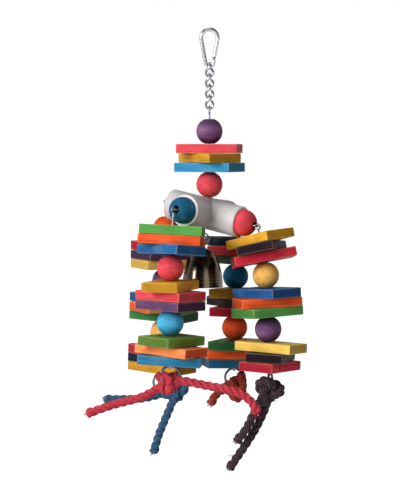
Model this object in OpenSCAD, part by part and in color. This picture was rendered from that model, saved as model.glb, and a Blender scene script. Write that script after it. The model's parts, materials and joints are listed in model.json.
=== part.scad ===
// Hanging parrot toy: a snap hook and a short twisted chain carry a wire with beads and
// slats, a four-way pipe cross under them, four strands of slats and beads from its arms,
// a knotted rope on the ring at the foot of each strand, and a bell in the middle.
// Millimetres, +Z up, +Y away from the viewer. The origin is the inside top of the hook.

/* [Snap hook] */
// Wire diameter of the hook
hook_wire = 5; // [4.6:0.1:5.2]
// Outside height of the hook
hook_h = 50; // [47:0.5:60]
// Centreline radius of the wide upper bow
hook_bow_r = 10; // [9.5:0.25:12]
// Centreline radius of the narrow lower bow
hook_foot_r = 4.6; // [4.5:0.1:5.2]
// Distance from the upper bow to the end of its nose
nose_l = 5.2; // [4:0.2:7]
// Length of the gate from its pivot to its tip
gate_l = 17; // [14:0.5:18]
// Thickness of the gate
gate_d = 4.6; // [4.2:0.1:5]
// Diameter of the gate's rivet
rivet_d = 2; // [1.6:0.1:2.2]
// Thickness of the tongues that the gate's slots close over
tongue_t = 1.6; // [1.2:0.1:1.8]

/* [Top chain] */
// Number of twisted links
top_links = 4; // [4]
// Wire diameter of a twisted link
link_wire = 3; // [2.4:0.1:3.2]
// Inside length of a twisted link
link_l = 13.2; // [12.8:0.2:18]
// Inside width of a twisted link
link_w = 5.8; // [5.7:0.1:6.8]

/* [Wires and rings] */
// Wire diameter of the centre wire
centre_d = 2.4; // [2:0.1:2.6]
// Centreline radius of the centre wire's top eye
centre_eye_r = 4.2; // [3.4:0.1:5]
// Wire diameter of the strand wires, the cross rod and the inner chain
strand_d = 2.2; // [1.8:0.1:2.3]
// Centreline radius of the small eyes, which pass through the bores
eye_r = 3.1; // [3:0.05:3.2]
// Wire diameter of the rope rings
ring_d = 3; // [2.4:0.1:3.2]
// Centreline radius of the rope rings
ring_r = 11; // [10:0.5:14]

/* [Wood] */
// Diameter of a bead
bead_d = 32; // [30:0.5:33]
// Height of a bead between its flat ends
bead_h = 30; // [28:0.5:30.5]
// Bore through beads and slats
bore_d = 9.5; // [9.3:0.1:10]
// Length of a slat
slat_l = 75; // [60:1:76]
// Width of a slat
slat_w = 45; // [34:1:46]
// Thickness of a slat
slat_t = 11.1; // [9:0.1:12.5]
// Chamfer along a slat's edges
slat_ease = 0.9; // [0.4:0.1:2]
// Gap between pieces threaded one above the other
stack_gap = 0.3; // [0.2:0.1:0.6]

/* [Pipe cross] */
// Outside diameter of the pipe
pipe_d = 38; // [37:0.2:40]
// Bore of the sockets at the mouths, where the mouth beads rest
socket_d = 31; // [28:0.2:31.2]
// Bore of the passage behind the sockets
passage_d = 25; // [22:0.5:26]
// Distance from the middle to a mouth
arm_l = 50.5; // [49:0.5:51]
// Depth of a socket
socket_l = 25; // [22:0.5:26]
// Hole in the top wall
top_hole_d = 10; // [9.6:0.1:12]
// Hole in the bottom wall
bottom_hole_d = 7; // [5:0.1:7.6]
// Lean of the cross, as the photo shows it hanging
lean = 12.4; // [6:0.1:13]
// Direction in which the cross leans down
lean_az = -6; // [-12:1:20]
// Direction of the front right arm
cross_yaw = -32; // [-38:1:-28]

/* [Strands] */
// Direction in which each strand leaves the cross
strand_yaw = [-122, 140, -32, 58]; // [-180:1:180]
// Distance from each arm's mouth to its strand's first pivot
strand_reach = [24, 16, 24, 24]; // [15.5:0.1:25.5]
// Length of bare wire above each strand's first piece
strand_drop = [20.1, 17.7, 9.6, 25]; // [9:0.1:30]
// Outward lean of each strand's upper half
upper_lean = [6.5, 1, 12.8, -2]; // [-3:0.1:14]
// Outward lean of each strand's lower half
lower_lean = [0.5, 2.7, 3, -2]; // [-4:0.1:6]
// Roll of each strand's lowest slats, down to the right
low_roll = [3, 0, 5, 0]; // [0:0.5:5]
// Direction of each rope ring's plane
ring_yaw = [0, 25, 75, 10]; // [0:5:180]
// Gap between a strand's two halves, which lets them bend
bend_gap = 0.9; // [0.9:0.1:1.4]

/* [Bell] */
// Radius of the bell's mouth
bell_r = 24.6; // [22:0.2:25]
// Height of the bell under its loop
bell_h = 46.5; // [42:0.5:48]
// Thickness of the bell's wall
bell_wall = 1.2; // [1:0.1:1.6]
// Wire diameter of the bell's hook, its loop and the clapper
bell_wire = 1.8; // [1.6:0.1:2]
// Diameter of the clapper's ball
clapper_d = 9; // [6:0.5:12]

/* [Ropes] */
// Diameter of a rope
rope_d = 10; // [7:0.2:10.4]
// Radius of a knot
knot_r = 15; // [12:0.5:16]

/* [Hidden] */
strand_parts = ["upper_wire", "lower_wire", "ring", "rope", "bead_1", "bead_2",
    "slats_1", "slats_2", "slats_3"];

$fn = 48;

// Running clearances
link_gap = 0.3;
rivet_gap = 0.05;
slot_gap = 0.3;
tip_gap = 0.5;
roll_gap = 0.5;
ring_gap = 0.5;
join = 0.8;
loop_sink = 0.4;
inner_loop_sink = 0.2;

// Gate's pivot and nose: the tongues, the boss that the fork closes over, the rivet's heads
tongue_w = 3;
tongue_root = 1;
tongue_reach = 2;
nose_slot = 2.6;
fork_gap = 0.4;
boss_d = gate_d - 0.8;
boss_neck_w = boss_d - 1;
rivet_head_h = 0.6;
rivet_head_out = 0.5;
rivet_head_gap = 0.1;

// Snap hook outline, in the XZ plane
bow_z = -(hook_bow_r - hook_wire / 2);
foot_z = hook_wire - hook_h + hook_foot_r + hook_wire / 2;
hook_span = bow_z - foot_z;
hook_taper = asin((hook_bow_r - hook_foot_r) / hook_span);
side_l = hook_span * cos(hook_taper);
pivot_s = nose_l + tip_gap + gate_l;
stub_top_s = pivot_s + gate_d / 2 + tip_gap;
foot_in_z = foot_z - hook_foot_r + hook_wire / 2;
side_d = hook_wire - 0.2;

// Twisted links
link_pitch = link_l - link_gap;
link_bow = (link_w + link_wire) / 2;
link_top_z = foot_in_z + link_gap;
chain_end_z = link_top_z - (top_links - 1) * link_pitch - link_l;

// Centre stack
centre_eye_z = chain_end_z + link_gap - centre_eye_r + centre_d / 2;
neck_l = 5.9;
stack_top_z = centre_eye_z - centre_eye_r - centre_d / 2 - neck_l;
slat_pitch = slat_t + stack_gap;
slats_top_z = stack_top_z - bead_h - stack_gap;
low_bead_z = slats_top_z - 3 * slat_pitch;
rock_gap = bore_d / 2 * tan(lean) + 0.25;
rock_z = low_bead_z - bead_h - rock_gap;
centre_yaw = [-10, -60, -27];

// Pipe cross: its own frame stands at the rocking point, on top of the cross
cross_mid = -pipe_d / 2;
mouth_ease = 0.6;
seat_gap = 0.3;
// A mouth bead rests on the first edge too narrow for it: the mouth's, or the one behind the socket
at_mouth = socket_d < bead_d;
seat_d = at_mouth ? socket_d : passage_d;
seat_edge = at_mouth ? arm_l - mouth_ease : arm_l - socket_l;
bead_middle = seat_edge + sqrt(pow(bead_d / 2 + seat_gap, 2) - pow(seat_d / 2, 2));
lean_axis = [-sin(lean_az), cos(lean_az), 0];
inner_ring_r = 5.8;
chain_links = 6;
chain_l = 12;
chain_w = 3.9;
chain_start = inner_ring_r - strand_d / 2 - link_gap;
rod_eye_z = -pipe_d - link_gap - eye_r - strand_d / 2;
hook_pivot_z = rod_eye_z - eye_r;

// Strands
slats_h = 3 * slat_t + 2 * stack_gap;
bend_depth = 4.5;
bead_step = bead_h + stack_gap;
slats_step = slats_h + stack_gap;
slat_yaws = [
    [[-5, -8, -50], [70, -45, -47], [55, -36, -4]],
    [[31, 35, 30], [31, 33, -28], [30, -33, -36]],
    [[-50, 75, 5], [-52, 15, 35], [-31, 75, 60]],
    [[5, 63, -63], [70, -65, 72], [70, 8, 10]]
];
slat_colours = [
    [["green", "orangered", "royalblue"], ["orange", "red", "purple"], ["green", "orange", "skyblue"]],
    [["crimson", "purple", "khaki"], ["royalblue", "orange", "green"], ["red", "navy", "goldenrod"]],
    [["gold", "indigo", "red"], ["royalblue", "orange", "green"], ["gold", "navy", "crimson"]],
    [["navy", "red", "darkgreen"], ["goldenrod", "indigo", "crimson"], ["green", "orange", "royalblue"]]
];
bead_colours = [["red", "skyblue"], ["purple", "gold"], ["gold", "purple"], ["teal", "orangered"]];
rope_colours = ["crimson", "steelblue", "indigo", "orangered"];
low_slats_z = bend_depth - 2 * bead_step - slats_step - roll_gap;
ring_top = low_slats_z - slats_h - ring_gap - ring_d / 2;
eye_under_ring = ring_top - ring_d / 2 - link_gap - strand_d / 2;

// Bell hook: round points from its upper curl to its lower one, beside the bell
bell_hook_points = [[-2.5, -1.4], [-2.3, 1.2], [0, 2.4], [4, 1.6], [8, -1.4], [10, -5.5],
    [8.6, -9.6], [5, -12.2], [1.5, -12.8], [-1.2, -11.2], [-1.8, -8.8]];
bell_x = 1.5;
bell_drop = -12.8;
loop_r = 3.2;
loop_z = bell_wire + link_gap - loop_r;
crown_z = loop_z - loop_r - bell_wire / 2 + loop_sink;
inner_loop_r = 3.5;
inner_loop_z = crown_z - bell_wall;
clapper_eye_r = 2.5;
clapper_eye_z = inner_loop_z - inner_loop_r + bell_wire + link_gap - clapper_eye_r;
clapper_l = 29;

// Bell's outline: the crown's and the shoulder's shares of the mouth's radius
crown_share = 0.3;
shoulder_share = 0.64;
shoulder_t = 0.16;
flare_power = 0.8;

// Ropes: the knot on each ring, then the tails, as round points of the route
knot_core = 4;
knot_at = [[-49, -66, -418], [-46, 44, -445], [71, -53, -430], [32, 52, -442]];
rope_tails = [
    [
        [[-50, -66, -419], [-62, -68, -426], [-82, -70, -436], [-116, -72, -445], [-146, -74, -455]],
        [[-44, -68, -416], [-30, -73, -416], [-8, -77, -420], [20, -81, -425], [40, -83, -432],
            [51, -84, -442], [56, -85, -453]]
    ],
    [
        [[-50, 43, -445], [-64, 41, -449], [-86, 36, -453], [-112, 32, -453], [-131, 30, -453]],
        [[-44, 44, -448], [-47, 43, -460], [-54, 42, -477], [-63, 42, -499], [-70, 42, -523]]
    ],
    [
        [[64, -55, -436], [57, -59, -448], [50, -60, -462], [43, -60, -476], [31, -61, -491]],
        [[70, -52, -438], [66, -50, -453], [55, -48, -477], [40, -48, -501], [23, -48, -526]]
    ],
    [
        [[26, 52, -445], [16, 51, -445], [8, 50, -451], [1, 49, -463]]
    ]
];

function unit(v) = v / norm(v);
function flat(v) = unit([v.x, v.y, 0]);
function tilt(v) = v * cos(lean) + cross(lean_axis, v) * sin(lean)
    + lean_axis * (lean_axis * v) * (1 - cos(lean));

// World point of strand k's first pivot, and the direction it faces
function pivot_out(k) = arm_l + strand_reach[k - 1];
function strand_pivot(k) = [0, 0, rock_z] + tilt([
    pivot_out(k) * cos(strand_yaw[k - 1]),
    pivot_out(k) * sin(strand_yaw[k - 1]),
    cross_mid
]);
function strand_out(k) = flat(tilt([cos(strand_yaw[k - 1]), sin(strand_yaw[k - 1]), 0]));
function strand_az(k) = atan2(strand_out(k).y, strand_out(k).x);
function down(k, a) = strand_out(k) * sin(a) - [0, 0, cos(a)];
function top_bead_l(k) = k == 2 ? bead_step : 0;
function first_slats_z(k) = -strand_drop[k - 1] - top_bead_l(k);
function bend_l(k) = -first_slats_z(k) + slats_h + bend_gap + bend_depth;
function bend_point(k) = strand_pivot(k) + down(k, upper_lean[k - 1]) * bend_l(k);

// Skin of a swept tube: rings of n points each, with flat ends or closed on itself
function tube_faces(rings, n, closed) = concat(
    [for (i = [0:rings - (closed ? 1 : 2)]) for (j = [0:n - 1]) for (side = [0, 1])
        let (a = i * n, b = ((i + 1) % rings) * n, j2 = (j + 1) % n)
        side == 0 ? [a + j, a + j2, b + j2] : [a + j, b + j2, b + j]],
    closed ? [] : [[for (j = [n - 1:-1:0]) j], [for (j = [0:n - 1]) (rings - 1) * n + j]]
);
function tube_ring(p, t, w, r, n) =
    let (a = unit(cross(t, w)), b = cross(a, t))
    [for (j = [0:n - 1]) p + r * (cos(360 * j / n) * a + sin(360 * j / n) * b)];

// Tube of diameter d along a route; w is a direction that the route never follows
module route_tube(points, d, w, n = 8) {
    last = len(points) - 1;
    rings = [for (i = [0:last]) each tube_ring(
        points[i], unit(points[min(i + 1, last)] - points[max(i - 1, 0)]), w, d / 2, n)];
    polyhedron(rings, tube_faces(last + 1, n, false), convexity = 6);
}

// Smooth path through the points, steps to a span
function spline_point(p, q, r, s, t) = 0.5 * (2 * q + (r - p) * t
    + (2 * p - 5 * q + 4 * r - s) * t * t + (3 * q - p - 3 * r + s) * t * t * t);
function spline(points, steps) = let (last = len(points) - 1) concat(
    [for (i = [0:last - 1]) for (j = [0:steps - 1]) spline_point(points[max(i - 1, 0)],
        points[i], points[i + 1], points[min(i + 2, last)], j / steps)],
    [points[last]]
);

// Round wire eye in the upright plane that faces yaw
module eye(r, d, yaw = 0) {
    rotate([0, 0, yaw])
        rotate([90, 0, 0])
            rotate_extrude()
                translate([r, 0])
                    circle(d = d, $fn = 24);
}

// Straight wire between two heights
module wire(top, bottom, d) {
    translate([0, 0, bottom])
        cylinder(d = d, h = top - bottom, $fn = 24);
}

// Chain link of round wire along X, lying in the XY plane, starting at the inside of one end
module long_link(inside_l, inside_w, d) {
    r = (inside_w + d) / 2;
    straight = inside_l - inside_w;
    for (end = [0, 1])
        translate([inside_w / 2 + end * straight, 0, 0])
            rotate([0, 0, end == 0 ? 90 : -90])
                rotate_extrude(angle = 180)
                    translate([r, 0])
                        circle(d = d, $fn = 16);
    for (side = [-1, 1])
        translate([inside_w / 2, side * r, 0])
            rotate([0, 90, 0])
                cylinder(d = d, h = straight, $fn = 16);
}

// Twisted link: its top bow lies in the YZ plane and its bottom bow in the XZ plane.
// Its origin is the inside top. twist_at gives the turn of its own plane at a height.
link_arc_steps = 8;
link_side_steps = 6;
link_low = -link_l + link_w / 2;
link_high = -link_w / 2;
function smooth_step(t) = t * t * (3 - 2 * t);
function twist_at(z) = 90 * smooth_step(max(0, min(1, (z - link_low) / (link_high - link_low))));
function link_plane(z) = [-sin(twist_at(z)), cos(twist_at(z)), 0];
function link_side(sign, z) = [sign * link_bow * cos(twist_at(z)), sign * link_bow * sin(twist_at(z)), z];
function link_points() = concat(
    [for (i = [0:link_arc_steps]) let (a = 180 + 180 * i / link_arc_steps)
        [link_bow * cos(a), 0, link_low + link_bow * sin(a)]],
    [for (i = [1:link_side_steps - 1])
        link_side(1, link_low + (link_high - link_low) * i / link_side_steps)],
    [for (i = [0:link_arc_steps]) let (a = 180 * i / link_arc_steps)
        [0, link_bow * cos(a), link_high + link_bow * sin(a)]],
    [for (i = [link_side_steps - 1:-1:1])
        link_side(-1, link_low + (link_high - link_low) * i / link_side_steps)]
);

module twisted_link() {
    points = link_points();
    count = len(points);
    sides = 10;
    rings = [for (i = [0:count - 1]) each tube_ring(points[i],
        unit(points[(i + 1) % count] - points[(i + count - 1) % count]),
        link_plane(points[i].z), link_wire / 2, sides)];
    polyhedron(rings, tube_faces(count, sides, true), convexity = 8);
}

// Wooden bead with flat ends, hanging down from its top face
module bead(colour) {
    color(colour)
        translate([0, 0, -bead_h / 2])
            rotate_extrude($fn = 64)
                intersection() {
                    circle(d = bead_d);
                    translate([bore_d / 2, -bead_h / 2])
                        square([bead_d, bead_h]);
                }
}

// Outline of a slat's section with eased corners
module eased_outline(l, w) {
    x = l / 2;
    y = w / 2;
    polygon([
        [x - slat_ease, -y], [x, -y + slat_ease], [x, y - slat_ease], [x - slat_ease, y],
        [-x + slat_ease, y], [-x, y - slat_ease], [-x, -y + slat_ease], [-x + slat_ease, -y]
    ]);
}

// Bored slat with eased edges, hanging down from its top face
module slat(colour, yaw) {
    color(colour)
        rotate([0, 0, yaw])
            translate([0, 0, -slat_t / 2])
                difference() {
                    intersection() {
                        translate([0, 0, -slat_t / 2])
                            linear_extrude(slat_t)
                                eased_outline(slat_l, slat_w);
                        rotate([90, 0, 0])
                            translate([0, 0, -slat_w / 2])
                                linear_extrude(slat_w)
                                    eased_outline(slat_l, slat_t);
                        rotate([0, 90, 0])
                            translate([0, 0, -slat_l / 2])
                                linear_extrude(slat_l)
                                    eased_outline(slat_t, slat_w);
                    }
                    cylinder(d = bore_d, h = slat_t + 2, center = true, $fn = 32);
                }
}

// Upper and lower bows of the hook: an arc about a centre on the Z axis
module hook_arc(z, r, from, turn) {
    translate([0, 0, z])
        rotate([90, 0, 0])
            rotate([0, 0, from])
                rotate_extrude(angle = turn)
                    translate([r, 0])
                        circle(d = hook_wire, $fn = 32);
}

// Frame whose Z axis runs down one straight side of the hook, from the upper bow
module hook_side(side) {
    translate([side * hook_bow_r * cos(hook_taper), 0, bow_z - hook_bow_r * sin(hook_taper)])
        rotate([0, side * hook_taper, 0])
            rotate([0, 180, 0])
                children();
}

module carabiner_frame() {
    color("silver")
        difference() {
            union() {
                hook_arc(bow_z, hook_bow_r, -hook_taper, 180 + 2 * hook_taper);
                hook_arc(foot_z, hook_foot_r, 180 + hook_taper, 180 - 2 * hook_taper);
                hook_side(-1)
                    translate([0, 0, -join])
                        cylinder(d = side_d, h = side_l + 2 * join, $fn = 32);
                hook_side(1) {
                    translate([0, 0, -join])
                        cylinder(d = side_d, h = nose_l + join, $fn = 32);
                    translate([-tongue_w / 2, -tongue_t / 2, nose_l - tongue_root])
                        cube([tongue_w, tongue_t, tongue_root + tip_gap + tongue_reach]);
                    translate([0, 0, stub_top_s])
                        cylinder(d = side_d, h = side_l - stub_top_s + join, $fn = 32);
                    translate([0, 0, pivot_s])
                        rotate([90, 0, 0])
                            cylinder(d = boss_d, h = tongue_t, center = true, $fn = 32);
                    translate([-boss_neck_w / 2, -tongue_t / 2, pivot_s])
                        cube([boss_neck_w, tongue_t, stub_top_s - pivot_s + tongue_root]);
                }
            }
            hook_side(1)
                translate([0, 0, pivot_s])
                    rotate([90, 0, 0])
                        cylinder(d = rivet_d, h = 2 * hook_wire, center = true, $fn = 32);
        }
}

// Gate with a slot at its tip for the nose's tongue and a fork round the hook's own
module carabiner_gate() {
    slot = tongue_t + 2 * slot_gap;
    color("gainsboro")
        hook_side(1)
            difference() {
                union() {
                    translate([0, 0, nose_l + tip_gap])
                        cylinder(d = gate_d, h = gate_l, $fn = 32);
                    translate([0, 0, pivot_s])
                        sphere(d = gate_d, $fn = 32);
                }
                translate([-gate_d, -slot / 2, nose_l])
                    cube([2 * gate_d, slot, tip_gap + nose_slot]);
                translate([-gate_d, -slot / 2, pivot_s - gate_d / 2 - fork_gap])
                    cube([2 * gate_d, slot, 2 * gate_d]);
                translate([0, 0, pivot_s])
                    rotate([90, 0, 0])
                        cylinder(d = rivet_d + 2 * rivet_gap, h = 2 * gate_d, center = true, $fn = 32);
            }
}

module gate_rivet() {
    r = rivet_d / 2;
    under = gate_d / 2 + rivet_head_gap;
    top = gate_d / 2 + rivet_head_h;
    color("gray")
        hook_side(1)
            translate([0, 0, pivot_s])
                rotate([90, 0, 0])
                    rotate_extrude($fn = 32)
                        polygon([[0, -top], [r, -top], [r + rivet_head_out, -under], [r, -under],
                            [r, under], [r + rivet_head_out, under], [r, top], [0, top]]);
}

module top_link(k) {
    color("silver")
        translate([0, 0, link_top_z - (k - 1) * link_pitch])
            twisted_link();
}

// Centre wire: its low eye's foot is the cross's rocking point
module centre_wire() {
    color("silver") {
        translate([0, 0, centre_eye_z])
            eye(centre_eye_r, centre_d, 90);
        wire(centre_eye_z - centre_eye_r, rock_z + 2 * eye_r, centre_d);
        translate([0, 0, rock_z + eye_r])
            eye(eye_r, centre_d, lean_az + 90);
    }
}

module centre_bead(z, colour) {
    translate([0, 0, z])
        bead(colour);
}

module centre_slat(index, colour) {
    translate([0, 0, slats_top_z - index * slat_pitch])
        slat(colour, centre_yaw[index]);
}

// Frame of the leaning cross, with its origin at the rocking point
module on_cross() {
    translate([0, 0, rock_z])
        rotate(a = lean, v = lean_axis)
            children();
}

// Frame that runs along +X out of the cross's middle
module along_arm(yaw) {
    on_cross()
        translate([0, 0, cross_mid])
            rotate([0, 0, yaw])
                children();
}

module pipe_cross() {
    ease = mouth_ease;
    color("gainsboro")
        on_cross()
            difference() {
                translate([0, 0, cross_mid])
                    for (turn = [0, 90])
                        rotate([0, 0, cross_yaw + turn])
                            rotate([0, 90, 0])
                                rotate_extrude($fn = 72)
                                    polygon([[0, -arm_l], [pipe_d / 2 - ease, -arm_l],
                                        [pipe_d / 2, -arm_l + ease], [pipe_d / 2, arm_l - ease],
                                        [pipe_d / 2 - ease, arm_l], [0, arm_l]]);
                translate([0, 0, cross_mid])
                    for (turn = [0, 90])
                        rotate([0, 0, cross_yaw + turn])
                            rotate([0, 90, 0])
                                cylinder(d = passage_d, h = 2 * arm_l, center = true, $fn = 72);
                translate([0, 0, cross_mid])
                    for (turn = [0:90:270])
                        rotate([0, 0, cross_yaw + turn])
                            translate([arm_l, 0, 0])
                                rotate([0, -90, 0])
                                    rotate_extrude($fn = 72)
                                        polygon([[0, -1], [socket_d / 2 + ease, -1],
                                            [socket_d / 2 + ease, 0], [socket_d / 2, ease],
                                            [socket_d / 2, socket_l], [0, socket_l]]);
                translate([0, 0, cross_mid])
                    cylinder(d = top_hole_d, h = pipe_d, $fn = 48);
                translate([0, 0, cross_mid - pipe_d])
                    cylinder(d = bottom_hole_d, h = pipe_d, $fn = 48);
            }
}

// Rod through the cross, with an eye at each end
module cross_rod() {
    top_eye_z = centre_d / 2 + link_gap - eye_r + strand_d / 2;
    color("silver")
        on_cross() {
            translate([0, 0, top_eye_z])
                eye(eye_r, strand_d, lean_az);
            wire(top_eye_z - eye_r, rod_eye_z + eye_r, strand_d);
            translate([0, 0, rod_eye_z])
                eye(eye_r, strand_d, lean_az + 90);
        }
}

module inner_ring() {
    color("silver")
        on_cross()
            translate([0, 0, cross_mid])
                rotate_extrude()
                    translate([inner_ring_r, 0])
                        circle(d = strand_d, $fn = 24);
}

// Chains from the ring through the arms; every second link lies flat
module inner_chain() {
    color("silver")
        for (k = [1:4]) {
            slack_pitch = (pivot_out(k) - strand_d / 2 - chain_l - chain_start) / (chain_links - 1);
            along_arm(strand_yaw[k - 1])
                for (j = [0:chain_links - 1])
                    translate([chain_start + j * slack_pitch, 0, 0])
                        rotate([j % 2 == 0 ? 90 : 0, 0, 0])
                            long_link(chain_l, chain_w, strand_d);
        }
}

// Bead that rests in an arm's mouth
module mouth_bead(yaw, colour) {
    along_arm(yaw)
        translate([bead_middle + bead_h / 2, 0, 0])
            rotate([0, 90, 0])
                bead(colour);
}

// Frames of a strand's halves: -Z runs down the strand and +X faces away from the cross
module on_upper(k) {
    translate(strand_pivot(k))
        rotate([0, 0, strand_az(k)])
            rotate([0, -upper_lean[k - 1], 0])
                children();
}

module on_lower(k) {
    translate(bend_point(k))
        rotate([0, 0, strand_az(k)])
            rotate([0, -lower_lean[k - 1], 0])
                children();
}

module strand_upper_wire(k) {
    top_eye_z = strand_d + link_gap - eye_r;
    color("silver")
        on_upper(k) {
            translate([0, 0, top_eye_z])
                eye(eye_r, strand_d);
            wire(top_eye_z - eye_r, 2 * eye_r - bend_l(k), strand_d);
            translate([0, 0, eye_r - bend_l(k)])
                eye(eye_r, strand_d);
        }
}

module strand_lower_wire(k) {
    top_eye_z = strand_d + link_gap - eye_r;
    color("silver")
        on_lower(k) {
            translate([0, 0, top_eye_z])
                eye(eye_r, strand_d, 90);
            wire(top_eye_z - eye_r, eye_under_ring + 2 * eye_r, strand_d);
            translate([0, 0, eye_under_ring + eye_r])
                eye(eye_r, strand_d, ring_yaw[k - 1] + 90 - strand_az(k));
        }
}

module strand_ring(k) {
    color("silver")
        on_lower(k)
            translate([0, 0, ring_top - ring_r])
                eye(ring_r, ring_d, ring_yaw[k - 1] - strand_az(k));
}

// Threaded pieces, each node hanging at its own height on the strand
module strand_top_bead(k) {
    on_upper(k)
        translate([0, 0, -strand_drop[k - 1]])
            bead("orangered");
}

module strand_bead(k, index) {
    on_lower(k)
        translate([0, 0, bend_depth - (index - 1) * (bead_step + slats_step)])
            bead(bead_colours[k - 1][index - 1]);
}

module slat_stack(k, index) {
    for (i = [0:2])
        translate([0, 0, -i * slat_pitch])
            slat(slat_colours[k - 1][index - 1][i], slat_yaws[k - 1][index - 1][i] - strand_az(k));
}

module strand_slats(k, index) {
    if (index == 1)
        on_upper(k)
            translate([0, 0, first_slats_z(k)])
                slat_stack(k, index);
    else if (index == 2)
        on_lower(k)
            translate([0, 0, bend_depth - bead_step])
                slat_stack(k, index);
    else
        on_lower(k)
            translate([0, 0, low_slats_z - slats_h])
                rotate([0, 0, -strand_az(k)])
                    rotate([0, low_roll[k - 1], 0])
                        rotate([0, 0, strand_az(k)])
                            translate([0, 0, slats_h])
                                slat_stack(k, index);
}

// Knot with a channel for its ring, and the rope's tails
module strand_rope(k) {
    color(rope_colours[k - 1])
        difference() {
            union() {
                translate(knot_at[k - 1])
                    rotate_extrude($fn = 32)
                        intersection() {
                            translate([knot_r / 2 - knot_core, 0])
                                circle(r = knot_r / 2 + knot_core);
                            translate([0, -knot_r])
                                square([2 * knot_r, 2 * knot_r]);
                        }
                for (tail = rope_tails[k - 1])
                    route_tube(tail, rope_d, [0, 1, 0]);
            }
            on_lower(k)
                translate([0, 0, ring_top - ring_r])
                    eye(ring_r, ring_d + 2 * link_gap, ring_yaw[k - 1] - strand_az(k));
        }
}

// Frame under the rod's low eye, where the bell's hook hangs
module under_cross() {
    translate([0, 0, rock_z] + tilt([0, 0, hook_pivot_z]))
        children();
}

module bell_hook() {
    color("silver")
        under_cross()
            route_tube([for (p = spline(bell_hook_points, 3)) [p.x, 0, p.y]], bell_wire, [0, 1, 0]);
}

module at_bell() {
    under_cross()
        translate([bell_x, 0, bell_drop])
            children();
}

// Outer radius of the bell at a share t of its height, from the crown to the lip
function bell_radius(t) = bell_r * (t < shoulder_t
    ? crown_share + (shoulder_share - crown_share) * sin(90 * t / shoulder_t)
    : shoulder_share + (1 - shoulder_share)
        * sin(90 * pow((t - shoulder_t) / (1 - shoulder_t), flare_power)));

module bell() {
    steps = 14;
    outer = [for (i = [0:steps]) [bell_radius(i / steps), crown_z - bell_h * i / steps]];
    inner = [for (i = [steps:-1:1]) [bell_radius(i / steps) - bell_wall,
        i == steps ? crown_z - bell_h : crown_z - bell_wall - (bell_h - bell_wall) * i / steps]];
    color("silver")
        at_bell() {
            translate([0, 0, loop_z])
                eye(loop_r, bell_wire, 90);
            rotate_extrude($fn = 64)
                polygon(concat([[0, crown_z]], outer, inner,
                    [[bell_radius(0) - bell_wall, crown_z - bell_wall], [0, crown_z - bell_wall]]));
            translate([0, 0, inner_loop_z + inner_loop_sink])
                rotate([90, 180, 90])
                    rotate_extrude(angle = 180)
                        translate([inner_loop_r + inner_loop_sink, 0])
                            circle(d = bell_wire, $fn = 24);
        }
}

// Clapper hung on the loop inside the bell
module bell_clapper() {
    color("dimgray")
        at_bell() {
            translate([0, 0, clapper_eye_z])
                eye(clapper_eye_r, bell_wire);
            wire(clapper_eye_z - clapper_eye_r, clapper_eye_z - clapper_l, bell_wire);
            translate([0, 0, clapper_eye_z - clapper_l])
                sphere(d = clapper_d, $fn = 32);
        }
}

carabiner_frame();
carabiner_gate();
gate_rivet();
for (k = [1:top_links])
    top_link(k);
centre_wire();
centre_bead(stack_top_z, "purple");  // centre_bead_top
centre_slat(0, "red");  // centre_slat_red
centre_slat(1, "goldenrod");  // centre_slat_mustard
centre_slat(2, "skyblue");  // centre_slat_blue
centre_bead(low_bead_z, "red");  // centre_bead_low
pipe_cross();
cross_rod();
inner_ring();
inner_chain();
mouth_bead(cross_yaw - 90, "teal");  // mouth_bead_1
mouth_bead(cross_yaw, "red");  // mouth_bead_3
mouth_bead(cross_yaw + 90, "royalblue");  // mouth_bead_4
strand_top_bead(2);  // strand_2_bead_top
bell_hook();
bell();
bell_clapper();
for (k = [1:4]) {
    strand_upper_wire(k);
    strand_lower_wire(k);
    strand_ring(k);
    strand_rope(k);
    for (index = [1, 2])
        strand_bead(k, index);
    for (index = [1:3])
        strand_slats(k, index);
}
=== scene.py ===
import json
import math
import random

import bmesh
import bpy
from mathutils import Matrix, Vector
from mathutils.bvhtree import BVHTree

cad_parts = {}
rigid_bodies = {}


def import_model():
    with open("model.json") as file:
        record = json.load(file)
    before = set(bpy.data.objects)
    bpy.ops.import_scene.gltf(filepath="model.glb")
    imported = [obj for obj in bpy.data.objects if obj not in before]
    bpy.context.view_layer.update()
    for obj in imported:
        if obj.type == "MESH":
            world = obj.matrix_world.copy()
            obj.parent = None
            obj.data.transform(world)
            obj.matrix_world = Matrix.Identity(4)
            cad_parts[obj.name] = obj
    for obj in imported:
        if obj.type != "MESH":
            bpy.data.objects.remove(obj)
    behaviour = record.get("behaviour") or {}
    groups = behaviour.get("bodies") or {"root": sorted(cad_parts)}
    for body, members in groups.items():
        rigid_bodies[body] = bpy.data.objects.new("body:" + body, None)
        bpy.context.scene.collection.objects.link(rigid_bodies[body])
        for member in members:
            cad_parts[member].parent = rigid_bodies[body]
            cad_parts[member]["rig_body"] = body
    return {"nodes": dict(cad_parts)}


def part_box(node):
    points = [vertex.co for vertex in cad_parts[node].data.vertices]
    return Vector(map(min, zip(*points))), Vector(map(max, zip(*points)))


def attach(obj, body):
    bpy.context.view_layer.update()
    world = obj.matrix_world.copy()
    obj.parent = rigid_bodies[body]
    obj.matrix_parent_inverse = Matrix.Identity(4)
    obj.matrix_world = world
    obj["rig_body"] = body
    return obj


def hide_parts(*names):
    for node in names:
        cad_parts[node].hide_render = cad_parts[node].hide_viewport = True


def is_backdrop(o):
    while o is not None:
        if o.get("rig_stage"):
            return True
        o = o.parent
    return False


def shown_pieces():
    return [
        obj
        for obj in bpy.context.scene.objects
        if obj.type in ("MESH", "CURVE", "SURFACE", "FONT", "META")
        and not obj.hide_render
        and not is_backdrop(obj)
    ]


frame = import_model()
scene = bpy.context.scene
mm = 0.001
zAxis = Vector((0, 0, 1))


def newObject(name, data):
    obj = bpy.data.objects.new(name, data)
    scene.collection.objects.link(obj)
    return obj


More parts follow.
